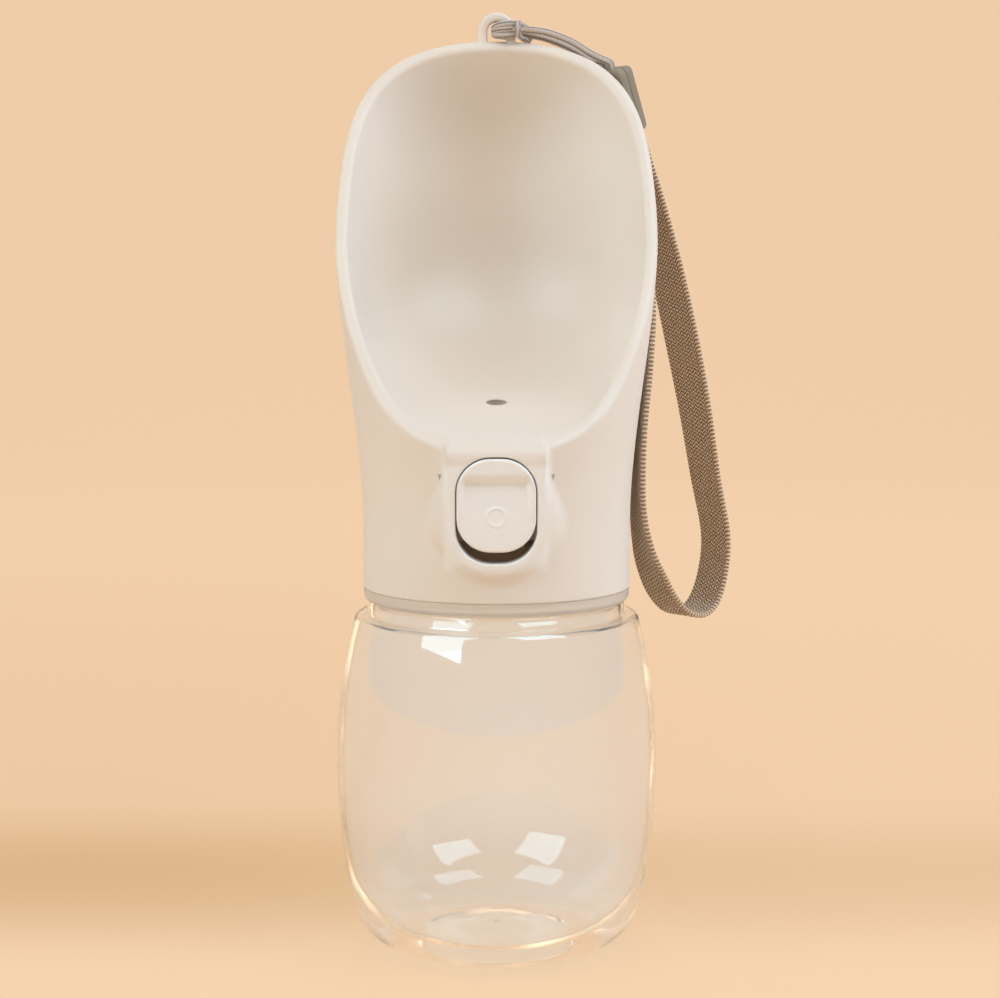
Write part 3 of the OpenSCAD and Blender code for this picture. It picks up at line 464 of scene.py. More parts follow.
def mixed(a, b, t):
    """Value between a and b."""
    return a + (b - a) * t


def arc(cx, cy, r, a0, a1, steps):
    """Points of an arc, from angle a0 to a1 in degrees."""
    return [(cx + r * cos(radians(mixed(a0, a1, i / steps))),
             cy + r * sin(radians(mixed(a0, a1, i / steps)))) for i in range(steps + 1)]


def run_lengths(line):
    """Length of a line from its start to each of its points."""
    out = [0.0]
    for a, b in zip(line, line[1:]):
        out.append(out[-1] + (b - a).length)
    return out


def along(line, spots):
    """Points at the given rising shares of a line's length."""
    reach = run_lengths(line)
    out = []
    i = 0
    for share in spots:
        target = share * reach[-1]
        while i < len(line) - 2 and reach[i + 1] < target:
            i += 1
        t = (target - reach[i]) / max(1e-12, reach[i + 1] - reach[i])
        out.append(line[i].lerp(line[i + 1], min(1, max(0, t))))
    return out


def headings(line, closed=False):
    """The way that a line is heading at each of its points."""
    last = len(line) - 1
    ways = []
    for i, point in enumerate(line):
        before = line[i - 1] if closed or i > 0 else point
        after = line[(i + 1) % len(line)] if closed or i < last else point
        ways.append((after - before).normalized())
    return ways


def circle(r, n, start=0):
    """Flat circle of n points round the origin, small enough to merge if its radius is 0."""
    r = max(r, 1e-6)
    turns = [tau * k / n + start for k in range(n)]
    return [Vector((r * cos(a), r * sin(a), 0)) for a in turns]


def upright(outline, y, z):
    """Stands a flat outline upright at depth y, with its middle at height z."""
    return [Vector((p.x, y, z + p.y)) for p in outline]


def squircle(half_w, half_h, corner, n):
    """Outline of a rounded rectangle as n points of even spacing, from its lowest point round."""
    points = []
    for cx, cy, a0 in ((1, -1, -90), (1, 1, 0), (-1, 1, 90), (-1, -1, 180)):
        points += [Vector((*p, 0)) for p in arc(
            cx * (half_w - corner), cy * (half_h - corner), corner, a0, a0 + 90, 24)]
    points.append(points[0])
    loop = along(points, [k / n for k in range(n)])
    lowest = min(range(n), key=lambda k: abs(loop[k].x) + (0 if loop[k].y < 0 else 9))
    return loop[lowest:] + loop[:lowest]


def quarter(r, steps):
    """A quarter round as pairs: how far it has come in from the side, how far below the face."""
    turns = [radians(90 * i / steps) for i in range(steps + 1)]
    return [(r * (1 - cos(a)), r * (1 - sin(a))) for a in turns]


# Marks beside the button, painted grey as the shade of small recesses: distance from the middle, height
# and half height
MARK_X = 12.3 * MM
MARK_H = 27.6 * MM
MARK_SIZE = 0.85 * MM
# Where the painted light on the pad round the button starts to fade, sideways and upwards
PAD_LIGHT_SIDE = 10.4 * MM
PAD_LIGHT_TOP = 29.5 * MM

# Shape of the head, in heights above its lower edge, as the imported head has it
FLARE_START = 14.9 * MM
DOME_H = 35.5 * MM
DOME_POWER = 3.6
STRAIGHT_H = 12 * MM
RIM_SLANT = radians(28)
LIP_SLANT = radians(49)
RIM_BEND_R = 35 * MM
RIM_BACK = 23 * MM
FLOOR_SLOPE = tan(radians(15))
CORNER_RISE = 30 * MM
LIP_RISE = 1.5 * MM
LEAST_CORNER = 0.5 * MM
BOWL_POWER = 2.4
OUTLET_FRONT = 4 * MM
OUTLET_R = 2.3 * MM
# Steps of the rounding over the rim
OVER_STEPS = 9
COLLAR_TOP = COLLAR_HIGH.z - HEAD_Z - 3.6 * MM
WINDOW_LOW = COLLAR_TOP + 1.4 * MM


class HeadForm:
    """The head's surfaces as columns, each in one direction seen from the outlet."""

    def __init__(self):
        s = sizes()
        self.wall = s.head_wall
        self.head_h = s.head_h
        self.dome_start = self.head_h - DOME_H
        self.flare_end = self.dome_start - STRAIGHT_H
        self.window_top = WINDOW_LOW + s.window_h
        self.lip_h = self.window_top + 2.1 * MM
        self.outlet_h = self.lip_h + 1.5 * MM + FLOOR_SLOPE * (SKIRT_R - 2.7 * MM - OUTLET_FRONT)
        self.floor_reach = SKIRT_R - OUTLET_FRONT - 0.7 * MM
        self.rim_foot = (0.9 * MM - SKIRT_R, self.lip_h)
        self.pad_face = -s.pad_face
        self.pad_r = s.window_w / 2 + 1.9 * MM
        self.pad_low = WINDOW_LOW - 2.6 * MM
        self.rim = self.rim_line()

    def radius(self, h, wall=0):
        """Radius at height h, on the outside or inset by a wall."""
        if h <= FLARE_START:
            return SKIRT_R - wall
        if h <= self.flare_end:
            share = (h - FLARE_START) / (self.flare_end - FLARE_START)
            return mixed(SKIRT_R, HEAD_R, ease(share)) - wall
        if h <= self.dome_start:
            return HEAD_R - wall
        share = max(0, 1 - ((h - self.dome_start) / (DOME_H - wall)) ** DOME_POWER)
        return (HEAD_R - wall) * share ** (1 / DOME_POWER)

    def rim_line(self):
        """Side view of the slanted rim, as points of y and height from the lip up."""
        d1 = Vector((sin(LIP_SLANT), cos(LIP_SLANT)))
        d2 = Vector((sin(RIM_SLANT), cos(RIM_SLANT)))
        foot = Vector(self.rim_foot)
        top = Vector((RIM_BACK, self.head_h - 3 * MM))
        gap = top - foot
        corner = foot + d1 * ((gap.x * d2.y - gap.y * d2.x) / (d1.x * d2.y - d1.y * d2.x))
        start = corner - d1 * RIM_BEND_R * tan((LIP_SLANT - RIM_SLANT) / 2)
        centre = start + Vector((-d1.y, d1.x)) * RIM_BEND_R
        slants = [mixed(LIP_SLANT, RIM_SLANT, i / 16) for i in range(17)]
        bend = [centre + RIM_BEND_R * Vector((cos(a), -sin(a))) for a in slants]
        return [foot, *bend, top + d2 * 60 * MM]

    def rim_y(self, h):
        """Where the rim's side view lies at height h."""
        for a, b in zip(self.rim, self.rim[1:]):
            if h <= b.y:
                return mixed(a.x, b.x, (h - a.y) / (b.y - a.y))
        return self.rim[-1].x

    def cut_off(self, point):
        """Whether a point lies in front of the rim."""
        return point.z >= self.lip_h and point.y < self.rim_y(point.z)

    def reach(self, a, r):
        """Distance from the outlet, in direction a, to the circle of radius r round the axis."""
        return OUTLET_FRONT * sin(a) + sqrt(max(0, r * r - (OUTLET_FRONT * cos(a)) ** 2))

    def at(self, a, d, h):
        """Point at distance d from the outlet, in direction a."""
        return Vector((d * cos(a), d * sin(a) - OUTLET_FRONT, h))

    def floor_end(self, a):
        """Height of the floor where the trough's corner starts."""
        return self.outlet_h + FLOOR_SLOPE * self.floor_reach * sin(a)

    def corner(self, a):
        """Rise of the trough's corner, which leaves the rim at the lip as wide as the wall."""
        rise = LIP_RISE + (CORNER_RISE - LIP_RISE) * ((1 + sin(a)) / 2) ** 0.7
        end = self.floor_end(a)
        y = self.reach(a, self.radius(end + LIP_RISE, self.wall)) * sin(a) - OUTLET_FRONT
        room = self.lip_h + (y - self.rim_foot[0]) / tan(LIP_SLANT) - end - 0.3 * MM
        return max(LEAST_CORNER, min(room, rise))

    def bowl(self, a, b):
        """Distance and height of the trough's surface, b degrees round its corner."""
        b = radians(b)
        end, rise = self.floor_end(a), self.corner(a)
        share = sin(b) ** (2 / BOWL_POWER)
        up = self.outlet_h + (end - self.outlet_h) * share \
            + rise * (1 - max(0, cos(b)) ** (2 / BOWL_POWER))
        return self.reach(a, self.radius(end + rise, self.wall)) * share, up

    def trim(self, column):
        """The part of a column that lies behind the rim, ending on it."""
        kept = [column[0]]
        for point in column[1:]:
            if self.cut_off(point):
                low, high = kept[-1], point
                for _ in range(24):
                    middle = (low + high) / 2
                    low, high = (low, middle) if self.cut_off(middle) else (middle, high)
                return [*kept, low]
            kept.append(point)
        return kept

    def upper_column(self, a, start, steps, wall=0):
        """Points from height start up over the dome, on the outside or inset by a wall."""
        spots = []
        for i in range(steps + 1):
            h = mixed(start, self.dome_start, i / steps)
            spots.append((self.radius(h, wall), h))
        for i in range(1, 61):
            c = radians(88 * i / 60)
            spots.append(((HEAD_R - wall) * cos(c) ** (2 / DOME_POWER),
                          self.dome_start + (DOME_H - wall) * sin(c) ** (2 / DOME_POWER)))
        return [self.at(a, self.reach(a, r), h) for r, h in spots if r > OUTLET_FRONT + 1 * MM]

    def inner_column(self, a):
        """The trough's surface from the outlet's edge to the rim."""
        floor = [self.bowl(a, b) for b in range(91)]
        points = [self.at(a, d, h) for d, h in floor if d > OUTLET_R + 0.5 * MM]
        start = self.floor_end(a) + self.corner(a)
        return self.trim(points + self.upper_column(a, start, 40, self.wall)[1:])

    def outer_column(self, a, base):
        """The outer surface from height base to the rim."""
        return self.trim([self.padded(p) for p in self.upper_column(a, base, 80)])

    def padded(self, point):
        """Moves a point of the outer surface onto the raised pad round the button. The pad is
        U-shaped, crisp at its upper sides, and runs out softly below."""
        x, y, h = abs(point.x), point.y, point.z
        if y > -10 * MM or h > self.lip_h + 9 * MM:
            return point
        middle = self.pad_low + self.pad_r
        if h >= middle:
            past = x - self.pad_r
            soft = mixed(5.2, 1.3, ease((h - middle) / (self.lip_h - 6 * MM - middle))) * MM
        else:
            past = hypot(x, h - middle) - self.pad_r
            soft = mixed(5.2, 3.0, ease((middle - h) / self.pad_r)) * MM
        side = 1 - ease((past + 0.35 * MM) / soft)
        top = 1 - ease((h - self.lip_h - 0.5 * MM) / (7 * MM))
        return Vector((point.x, min(y, mixed(y, self.pad_face, side * top)), h))


def shortened(column, distance):
    """A column cut short by a distance, and the way it was heading."""
    column = list(column)
    while len(column) > 2 and (column[-1] - column[-2]).length < distance:
        distance -= (column[-1] - column[-2]).length
        column.pop()
    last = column[-1] - column[-2]
    column[-1] = column[-1] - last.normalized() * min(distance, last.length * 0.95)
    return column, last.normalized()


def rounded_over(outer, inner, out_distance, in_distance):
    """Rounding between the ends of two columns: shortens both, and adds the points between them."""
    outer, out_way = shortened(outer, out_distance)
    inner, in_way = shortened(inner, in_distance)
    a, d = outer[-1], inner[-1]
    b, c = a + out_way * out_distance * 1.2, d + in_way * in_distance * 1.3
    over = []
    for i in range(1, OVER_STEPS):
        t = i / OVER_STEPS
        over.append(a * (1 - t) ** 3 + b * 3 * t * (1 - t) ** 2 + c * 3 * t * t * (1 - t) + d * t ** 3)
    return outer, inner, over


def head_rings(form):
    """All rings of the head: up its outside, over the rim, down the trough and the outlet, and on
    under the floor and down the inside of the skirt."""
    # Directions of the head's columns, closer together at the front, round the pad
    n = 208
    directions = [tau * (k / n) - 0.5 * sin(tau * k / n) - pi / 2 for k in range(n)]
    rings = []

    def round_outlet(r, h):
        rings.append([form.at(a, r, h) for a in directions])

    def round_axis(r, h):
        rings.append([form.at(a, form.reach(a, r), h) for a in directions])

    edge = 0.5 * MM
    for dr, h in arc(-edge, edge, edge, -90, 0, 4):
        round_axis(SKIRT_R + dr, h)
    base = form.lip_h - 6 * MM
    for i in range(1, 38):
        h = mixed(edge, base, i / 38)
        round_axis(form.radius(h), h)
        rings[-1] = [form.padded(p) for p in rings[-1]]
    # Columns from the base over the rim and down the trough
    columns = []
    plain = sizes().rim_round
    for a in directions:
        outer = form.outer_column(a, base)
        # Over the pad, the lip rolls forward in one soft curve
        front = 1 - ease((abs(outer[-1].x) - 8.5 * MM) / (5 * MM)) if outer[-1].y < 0 else 0
        outer, inner, over = rounded_over(outer, form.inner_column(a),
                                          mixed(plain, 3.4 * MM, front), mixed(plain, 1.9 * MM, front))
        columns.append([*along(outer, [(i / 30) ** 0.85 for i in range(31)]), *over,
                        *reversed(along(inner, [i / 52 for i in range(53)]))])
    rings += zip(*columns)
    # The outlet's edge and the groove under it follow the sloped floor
    for dr, dh, slope in ((0.22, -0.03, 1), (0.06, -0.16, 1), (0, -0.35, 1), (0.3, -0.55, 1),
                          (0.45, -0.75, 1), (0.45, -1.9, 0)):
        r = OUTLET_R + dr * MM
        h = form.outlet_h + dh * MM
        rings.append([form.at(a, r, h + slope * FLOOR_SLOPE * r * sin(a)) for a in directions])
    # Socket of the outlet's bush, the underside of the floor and the inside of the skirt
    socket_r = 6.1 * MM
    for r, down in ((OUTLET_R, 2.2), (4.5 * MM, 2.2), (4.5 * MM, 8), (socket_r, 8), (socket_r, 5.5)):
        round_outlet(r, form.outlet_h - down * MM)
    for b in (20, 35, 50, 64):
        ring = []
        for a in directions:
            d, h = form.bowl(a, b)
            under = h - 3.4 * MM
            limit = form.reach(a, form.radius(min(under, form.flare_end)) - form.wall - 0.6 * MM)
            ring.append(form.at(a, min(max(d, socket_r + 0.4 * MM), limit), under))
        rings.append(ring)
    inside, skirt_in = SKIRT_R - form.wall, SKIRT_R - 1.5 * MM
    for r, h in ((inside, 18 * MM), (inside, COLLAR_TOP), (skirt_in, COLLAR_TOP), (skirt_in, 0.3 * MM),
                 (skirt_in + 0.3 * MM, 0)):
        round_axis(r, h)
    rings.append(rings[0])
    return [[p + Vector((0, 0, HEAD_Z)) for p in ring] for ring in rings]


def window_cutter(form):
    """Cutter of the button's window, flared where it meets the pad's face, so the edge is rounded."""
    top = form.window_top - 0.28 * MM
    half_w, half_h = sizes().window_w / 2 - 0.2 * MM, (top - WINDOW_LOW) / 2
    flare = 0.42 * MM
    depths = [(4 * MM, flare + 1.2 * MM), (0.6 * MM, flare + 0.25 * MM)]
    depths += [(-inset, grow) for inset, grow in quarter(flare, 5)]
    rings = []
    for out, grow in [*depths, (-14 * MM, 0)]:
        outline = squircle(half_w + grow, half_h + grow, 7.7 * MM + grow, 96)
        rings.append(upright(outline, form.pad_face - out, HEAD_Z + (WINDOW_LOW + top) / 2))
    return loft("window_cutter", rings)


def make_head(form):
    """White head: skirt, pad, trough, rim and outlet in one moulding."""
    head = loft("head_shell_skin", head_rings(form), "open", "join", 40)
    cut_away(head, window_cutter(form))
    smooth(head, 40)
    return head


def make_lug(form):
    """Lug at the back of the dome: a bar bent into an arch, with all its edges rounded."""
    thick, deep = 2.2 * MM, 3 * MM
    y = RIM_BACK + 2 * MM
    r = 4.4 * MM - thick / 2
    centre = HEAD_HIGH.z - r - thick / 2
    foot = HEAD_Z + form.head_h - 4.4 * MM
    leg = [(r, foot), (r, mixed(foot, centre, 0.5))]
    path = leg + arc(0, centre, r, 0, 180, 20) + [(-x, z) for x, z in reversed(leg)]
    path = [Vector(p) for p in path]
    section = squircle(thick / 2, deep / 2, 0.7 * MM, 24)
    rings = []
    for (x, z), way in zip(path, headings(path)):
        flare = 1 + 0.5 * ease((centre - 1.6 * MM - z) / (3 * MM))
        rings.append([Vector((x + way.y * p.x * flare, y + p.y * flare, z - way.x * p.x * flare))
                      for p in section])
    return loft("strap_lug", rings)


def button_face(x, h, half_h):
    """How far the button's face lies behind its front, at x and height h over its middle: a thumb
    ridge at the top, which rolls down to the dished face, and plain sides."""
    crease = half_h - 5.6 * MM
    roll, drop = 2.5 * MM, 1.5 * MM
    if h >= crease + roll:
        back = 0.0
    elif h >= crease:
        back = drop * ((crease + roll - h) / roll) ** 1.8
    else:
        t = (crease - h) / (crease + half_h)
        back = mixed(drop, 0.2 * MM, sin(pi / 2 * t) ** 0.9)
    plain = 0.25 * MM * ease((crease + roll - h) / (5 * MM))
    return mixed(back, plain, ease((abs(x) - 6.3 * MM) / (2.0 * MM)))


def make_button():
    """Button cap with a thumb ridge, a dished face and a raised ring."""
    half_w = (BUTTON_HIGH.x - BUTTON_LOW.x) / 2
    half_h = (BUTTON_HIGH.z - BUTTON_LOW.z) / 2
    front = BUTTON_LOW.y
    corner, edge = 7.35 * MM, 0.55 * MM
    n, levels = 144, 46

    def on_face(points, back=0):
        """Puts flat points on the button's face, or at a distance behind it."""
        return [Vector((p.x, front + back + button_face(p.x, p.y, half_h), BUTTON_MIDDLE + p.y))
                for p in points]

    def round_mark(r):
        """Flat circle where the raised ring is, from its lowest point round."""
        return [p + Vector((0, -2.5 * MM, 0)) for p in circle(r, n, -pi / 2)]

    outline = squircle(half_w, half_h, corner, n)
    rings = [upright(outline, front + depth, BUTTON_MIDDLE) for depth in (3.2 * MM, edge + 0.2 * MM)]
    for inset, depth in quarter(edge, 4):
        rings.append(on_face(squircle(half_w - inset, half_h - inset, corner - inset, n), depth))
    rim = squircle(half_w - edge, half_h - edge, corner - edge, n)
    inner = round_mark(2.4 * MM)
    for i in range(1, levels + 1):
        rings.append(on_face([p.lerp(q, i / levels) for p, q in zip(rim, inner)]))
    for r, rise in ((2.3, 0.05), (2.15, 0.13), (1.8, 0.13), (1.65, 0.05), (1.55, 0), (1, 0), (0.5, 0),
                    (0, 0)):
        rings.append(on_face(round_mark(r * MM), -rise * MM))
    return loft("button_cap_skin", rings, "face", "point", 50)


def make_button_boss():
    """Boss behind the button, which snaps through the carriage."""
    front, end = BUTTON_LOW.y + 3.1 * MM, BUTTON_HIGH.y
    shank, snap = 3.6 * MM, 4.2 * MM
    outline = [(0, front), (shank, front), (shank, end - 1.4 * MM), (snap, end - 1.4 * MM),
               (snap, end - 0.3 * MM), (snap - 0.3 * MM, end), (0, end)]
    return loft("button_boss", [upright(circle(r, 64), y, BUTTON_MIDDLE) for r, y in outline],
                "point", "point")


# Shape of the bottle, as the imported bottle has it
BELLY_H = 41.6 * MM
SIDE_CURVE_R = 141 * MM
FOOT_CORNER_R = 11 * MM
SHOULDER_H = 77 * MM
SHOULDER_EDGE_R = 1.8 * MM
FOOT_DOME_H = 3.4 * MM
FOOT_STEP_R = 15.4 * MM
NECK_R = 25.4 * MM
NECK_WALL = 2.2 * MM


def bottle_side(inset):
    """Outline of the bottle's side, inset from its outside, from the foot up to the shoulder's edge,
    with the radius and angle at which that edge starts."""
    side_x = BOTTLE_HIGH.x - SIDE_CURVE_R
    reach = SIDE_CURVE_R - FOOT_CORNER_R
    corner_x = side_x + sqrt(reach ** 2 - (BELLY_H - FOOT_CORNER_R) ** 2)
    corner_a = degrees(asin((FOOT_CORNER_R - BELLY_H) / reach))
    edge_reach = SIDE_CURVE_R - SHOULDER_EDGE_R
    top_a = degrees(asin((SHOULDER_H - SHOULDER_EDGE_R - BELLY_H) / edge_reach))
    points = arc(corner_x, FOOT_CORNER_R, FOOT_CORNER_R - inset, -90, corner_a, 14)
    points += arc(side_x, BELLY_H, SIDE_CURVE_R - inset, corner_a, top_a, 44)[1:]
    return points, side_x + edge_reach * cos(radians(top_a)), top_a


def rounded_edge(r, z):
    """Three points over the edge at radius r and height z."""
    return [(r, z - 0.5 * MM), (r - 0.15 * MM, z - 0.15 * MM), (r - 0.5 * MM, z)]


def make_bottle():
    """Clear bottle: a thick pushed-up foot, a barrel side, a shoulder and a neck."""
    wall = sizes().bottle_wall
    band_r, band_top = SKIRT_R - 1.1 * MM, SHOULDER_H + 3 * MM
    mouth = BOTTLE_HIGH.z
    flat_r = FOOT_STEP_R + 2 * MM
    outside, edge_x, top_a = bottle_side(0)
    pip = FOOT_DOME_H - 0.9 * MM
    foot = [(0, pip), (0.8 * MM, pip), (1.1 * MM, FOOT_DOME_H - 0.1 * MM), (3.5 * MM, FOOT_DOME_H)]
    foot += [(FOOT_STEP_R * x, FOOT_DOME_H * y)
             for x, y in ((0.43, 0.9), (0.46, 0.8), (0.8, 0.62), (0.95, 0.42), (1, 0.25))]
    foot += [(flat_r - 0.6 * MM, 0.15 * MM), (flat_r, 0)]
    shoulder = arc(edge_x, SHOULDER_H - SHOULDER_EDGE_R, SHOULDER_EDGE_R, top_a, 90, 6)[1:]
    neck = [(band_r + 0.5 * MM, SHOULDER_H), (band_r + 0.15 * MM, SHOULDER_H + 0.12 * MM),
            (band_r, SHOULDER_H + 0.5 * MM), *rounded_edge(band_r, band_top), (NECK_R, band_top),
            *rounded_edge(NECK_R, mouth), (NECK_R - NECK_WALL, mouth)]
    inner_shoulder = SHOULDER_H - wall
    band_in = band_r - wall
    inside = [(NECK_R - NECK_WALL, band_top - 0.7 * MM), (band_in - 0.5 * MM, band_top - 0.8 * MM),
              (band_in, band_top - 1.3 * MM), (band_in, inner_shoulder + 0.5 * MM),
              (band_in + 0.15 * MM, inner_shoulder + 0.1 * MM), (band_in + 0.5 * MM, inner_shoulder)]
    # The foot's inner corner is wider than its outer one, so the wall is thicker there
    corner_r, corner_z = 19 * MM, 21.4 * MM
    lean = asin((BELLY_H - corner_z + 3 * MM) / SIDE_CURVE_R)
    side = [p for p in reversed(bottle_side(wall)[0])
            if corner_z - corner_r * sin(lean) < p[1] < inner_shoulder - 1.2 * MM]
    top_r = side[0][0]
    inside += [(top_r - 0.9 * MM, inner_shoulder), (top_r - 0.25 * MM, inner_shoulder - 0.3 * MM), *side]
    inside += arc(side[-1][0] - corner_r * cos(lean) - 0.06 * MM, corner_z, corner_r,
                  -degrees(lean) - 3, -90, 16)
    inside += [(FOOT_STEP_R * 0.9, wall + 0.7 * MM), (FOOT_STEP_R * 0.6, FOOT_DOME_H * 0.72 + wall),
               (FOOT_STEP_R * 0.3, FOOT_DOME_H * 0.95 + wall), (0, FOOT_DOME_H + wall)]
    rings = [[p + Vector((0, 0, z)) for p in circle(r, 144)]
             for r, z in foot + outside + shoulder + neck + inside]
    return loft("bottle_skin", rings, "point", "point", 45)


def make_neck_thread():
    """Thread on the bottle's neck, tapering into it at both ends."""
    pitch, turns, root, crest = 4 * MM, 1.1, 1 * MM, 0.44 * MM
    low = BOTTLE_HIGH.z - 7.5 * MM + root + 0.6 * MM
    steps = 96
    rings = []
    for i in range(steps + 1):
        a = tau * turns * i / steps
        out = 1.1 * MM * min(1, 6 * min(i, steps - i) / steps + 0.1)
        half = [(-0.2 * MM, root), (out * 0.9, crest * 1.2), (out, crest * 0.6)]
        section = half + [(dr, -dz) for dr, dz in reversed(half)]
        rings.append([Vector(((NECK_R + dr) * cos(a), (NECK_R + dr) * sin(a),
                              low + pitch * a / tau + dz)) for dr, dz in section])
    return loft("neck_thread", rings)


def smooth_route(points, steps):
    """The smooth curve through points of three or more numbers, with steps from each to the next."""
    out = []
    last = len(points) - 1
    for i in range(last):
        p0, p1, p2, p3 = points[max(i - 1, 0)], points[i], points[i + 1], points[min(i + 2, last)]
        for k in range(steps):
            t = k / steps
            out.append([0.5 * (2 * b + (c - a) * t + (2 * a - 5 * b + 4 * c - d) * t * t
                               + (3 * b - a - 3 * c + d) * t ** 3) for a, b, c, d in zip(p0, p1, p2, p3)])
    out.append(list(points[last]))
    return out


# Strap: the clasp's place, and the points of the cord's and the webbing's routes: x, y and height
# above the head's edge in millimetres, and for the webbing the way its face looks, in degrees
CLASP_AZ = radians(42)
CLASP_TILT = radians(22)
CLASP_L = 15.6 * MM
CLASP_W = 10.8 * MM
CLASP_T = 4.4 * MM
CORD_POINTS = [
    [22.5, 23.4, 122.8], [17.5, 23.5, 125.8], [12, 23.2, 127.8], [7.5, 22.5, 128.4], [4.3, 22.2, 128.4],
    [2, 22.8, 128.3], [1.5, 25, 128.2], [2, 27.2, 128.1], [4.3, 27.8, 128], [7.5, 27.5, 127.8],
    [12, 27.3, 126.8], [17.5, 27.1, 124.6], [22.5, 26.6, 121.6]]
WEBBING_POINTS = [
    [30.8, 26, 98, 40], [32.2, 20.6, 85, 33], [34.7, 13.3, 66, 22], [34.5, 9.6, 51, 16],
    [33.2, 7, 34, 12], [33, 7, 18, 14], [34.4, 8, 8, 24], [36.8, 10.2, 1, 36], [39.4, 12.7, -4.4, 40],
    [42.8, 16.1, -8.4, 42], [46.6, 20, -9.7, 43], [50.2, 23.6, -7.2, 41], [52.6, 26.2, 0, 38],
    [53.1, 27.2, 9, 37], [50.7, 27.7, 22, 39], [48.1, 28, 38, 45], [45, 28.6, 54, 49],
    [41, 29.3, 72, 48], [36.6, 29.8, 88.5, 44], [33.6, 29.2, 98, 42]]


def clasp_point(form, out, across, up):
    """Point on the clasp: outwards, across and along it from its middle."""
    h = form.head_h - 16.2 * MM
    r = form.radius(h) + 0.8 * MM + CLASP_T / 2 / cos(CLASP_TILT)
    away = out * cos(CLASP_TILT) - up * sin(CLASP_TILT)
    rise = out * sin(CLASP_TILT) + up * cos(CLASP_TILT)
    return Vector(((r + away) * cos(CLASP_AZ) - across * sin(CLASP_AZ),
                   (r + away) * sin(CLASP_AZ) + across * cos(CLASP_AZ), HEAD_Z + h + rise))


def strap_route(ends, points, steps):
    """Smooth route between two ends, each a point in the clasp and one just out of it, through
    points in millimetres above the head's edge, whose fourth number is an angle in degrees."""
    middle = [[x * MM, y * MM, h * MM + HEAD_Z, *map(radians, turn)] for x, y, h, *turn in points]
    return [ends[0][0], *smooth_route([ends[0][1], *middle, ends[1][1]], steps), ends[1][0]]


def cord_line(form):
    """The cord's whole route."""
    gap = sizes().cord_d / 2 + 0.25 * MM
    ends = [[clasp_point(form, 0, side * gap, CLASP_L / 2 + lead) for lead in (0, 1.5 * MM)]
            for side in (-1, 1)]
    return [Vector(p) for p in strap_route(ends, CORD_POINTS, 8)]


def webbing_line(form):
    """The webbing's whole route, and the way that its face looks at each point."""
    layer = sizes().webbing_t / 2 + 0.15 * MM
    ends = [[[*clasp_point(form, side * layer, 0, -CLASP_L / 2 - lead), CLASP_AZ]
             for lead in (0, 1.2 * MM)] for side in (-1, 1)]
    route = strap_route(ends, WEBBING_POINTS, 9)
    return [Vector(p[:3]) for p in route], [p[3] for p in route]


# Ribs round the cord
RIBS = 4


def map_surface(piece, n, lengths, across):
    """Maps a lofted piece: u from its place round the ring and v from its place along the route."""
    layer = piece.data.uv_layers.new(name="surface")
    layer.active_render = True
    for polygon in piece.data.polygons:
        ids = [piece.data.loops[i].vertex_index for i in polygon.loop_indices]
        if len(ids) > 4:
            continue
        columns = [v % n for v in ids]
        wraps = max(columns) - min(columns) > n / 2
        for loop, vertex, column in zip(polygon.loop_indices, ids, columns):
            row = min(vertex // n, len(lengths) - 1)
            k = column + n if wraps and column < n / 2 else column
            layer.data[loop].uv = (across(k), lengths[row])


def tube(name, line, radius, sides=14, closed=False):
    """Round tube along a line of points."""
    section = circle(radius, sides)
    rings = []
    side = None
    for point, way in zip(line, headings(line, closed)):
        if side is None:
            side = way.orthogonal().normalized()
        side = (side - way * side.dot(way)).normalized()
        rings.append([point + side * p.x + way.cross(side) * p.y for p in section])
    if closed:
        rings.append(rings[0])
    piece = loft(name, rings, *(("open", "join") if closed else ("face", "face")), 60)
    map_surface(piece, sides, run_lengths(line), lambda k: RIBS * k / sides)
    return piece


def make_knot(form):
    """Turns of the cord round the lug's right leg, which spread out in front of it as a knot."""
    turns, steps = 3, 28
    line = []
    for i in range(turns * steps + 1):
        t = i / (turns * steps)
        a = tau * turns * t + pi / 2
        spread = 2.1 * MM + 1.9 * MM * max(0, -sin(a))
        line.append(Vector((2.6 * MM + 3.1 * MM * cos(a), RIM_BACK + 2 * MM + 3 * MM * sin(a),
                            HEAD_Z + form.head_h + 0.1 * MM + (t - 0.5) * spread)))
    return tube("strap_knot", line, sizes().cord_d * 0.46)


def make_hitch(line):
    """The bight of the hitch, which holds the cord's two runs together beside the lug."""
    half = len(line) // 2
    front, rear = [min(run, key=lambda p: abs(p.x - 6.5 * MM)) for run in (line[:half], line[half:])]
    d = sizes().cord_d
    centre = (front + rear) / 2
    across = (rear - front).normalized()
    half_w = (rear - front).length / 2 + d * 0.98
    half_h = d * 0.85
    points = []
    for p in squircle(half_w, half_h, half_h * 0.98, 40):
        bow = 0.35 * p.x - 0.3 * half_h * (p.y / half_h) ** 2
        points.append(centre + across * p.x + Vector((bow, 0, p.y)))
    return tube("strap_hitch", points, d * 0.42, closed=True)


def make_webbing(line, turns):
    """Webbing loop: down the inner leg and up the outer one, with soft rounded edges."""
    half_t = sizes().webbing_t / 2
    section = squircle(sizes().webbing_w / 2, half_t, half_t * 0.95, 40)
    rings = []
    for point, way, a in zip(line, headings(line), turns):
        flat = Vector((-sin(a), cos(a), 0))
        across = (flat - way * flat.dot(way)).normalized()
        face = way.cross(across)
        rings.append([point + across * p.x + face * p.y for p in section])
    piece = loft("strap_webbing_weave", rings, angle=60)
    map_surface(piece, len(section), run_lengths(line), lambda k: section[k % len(section)].x)
    return piece


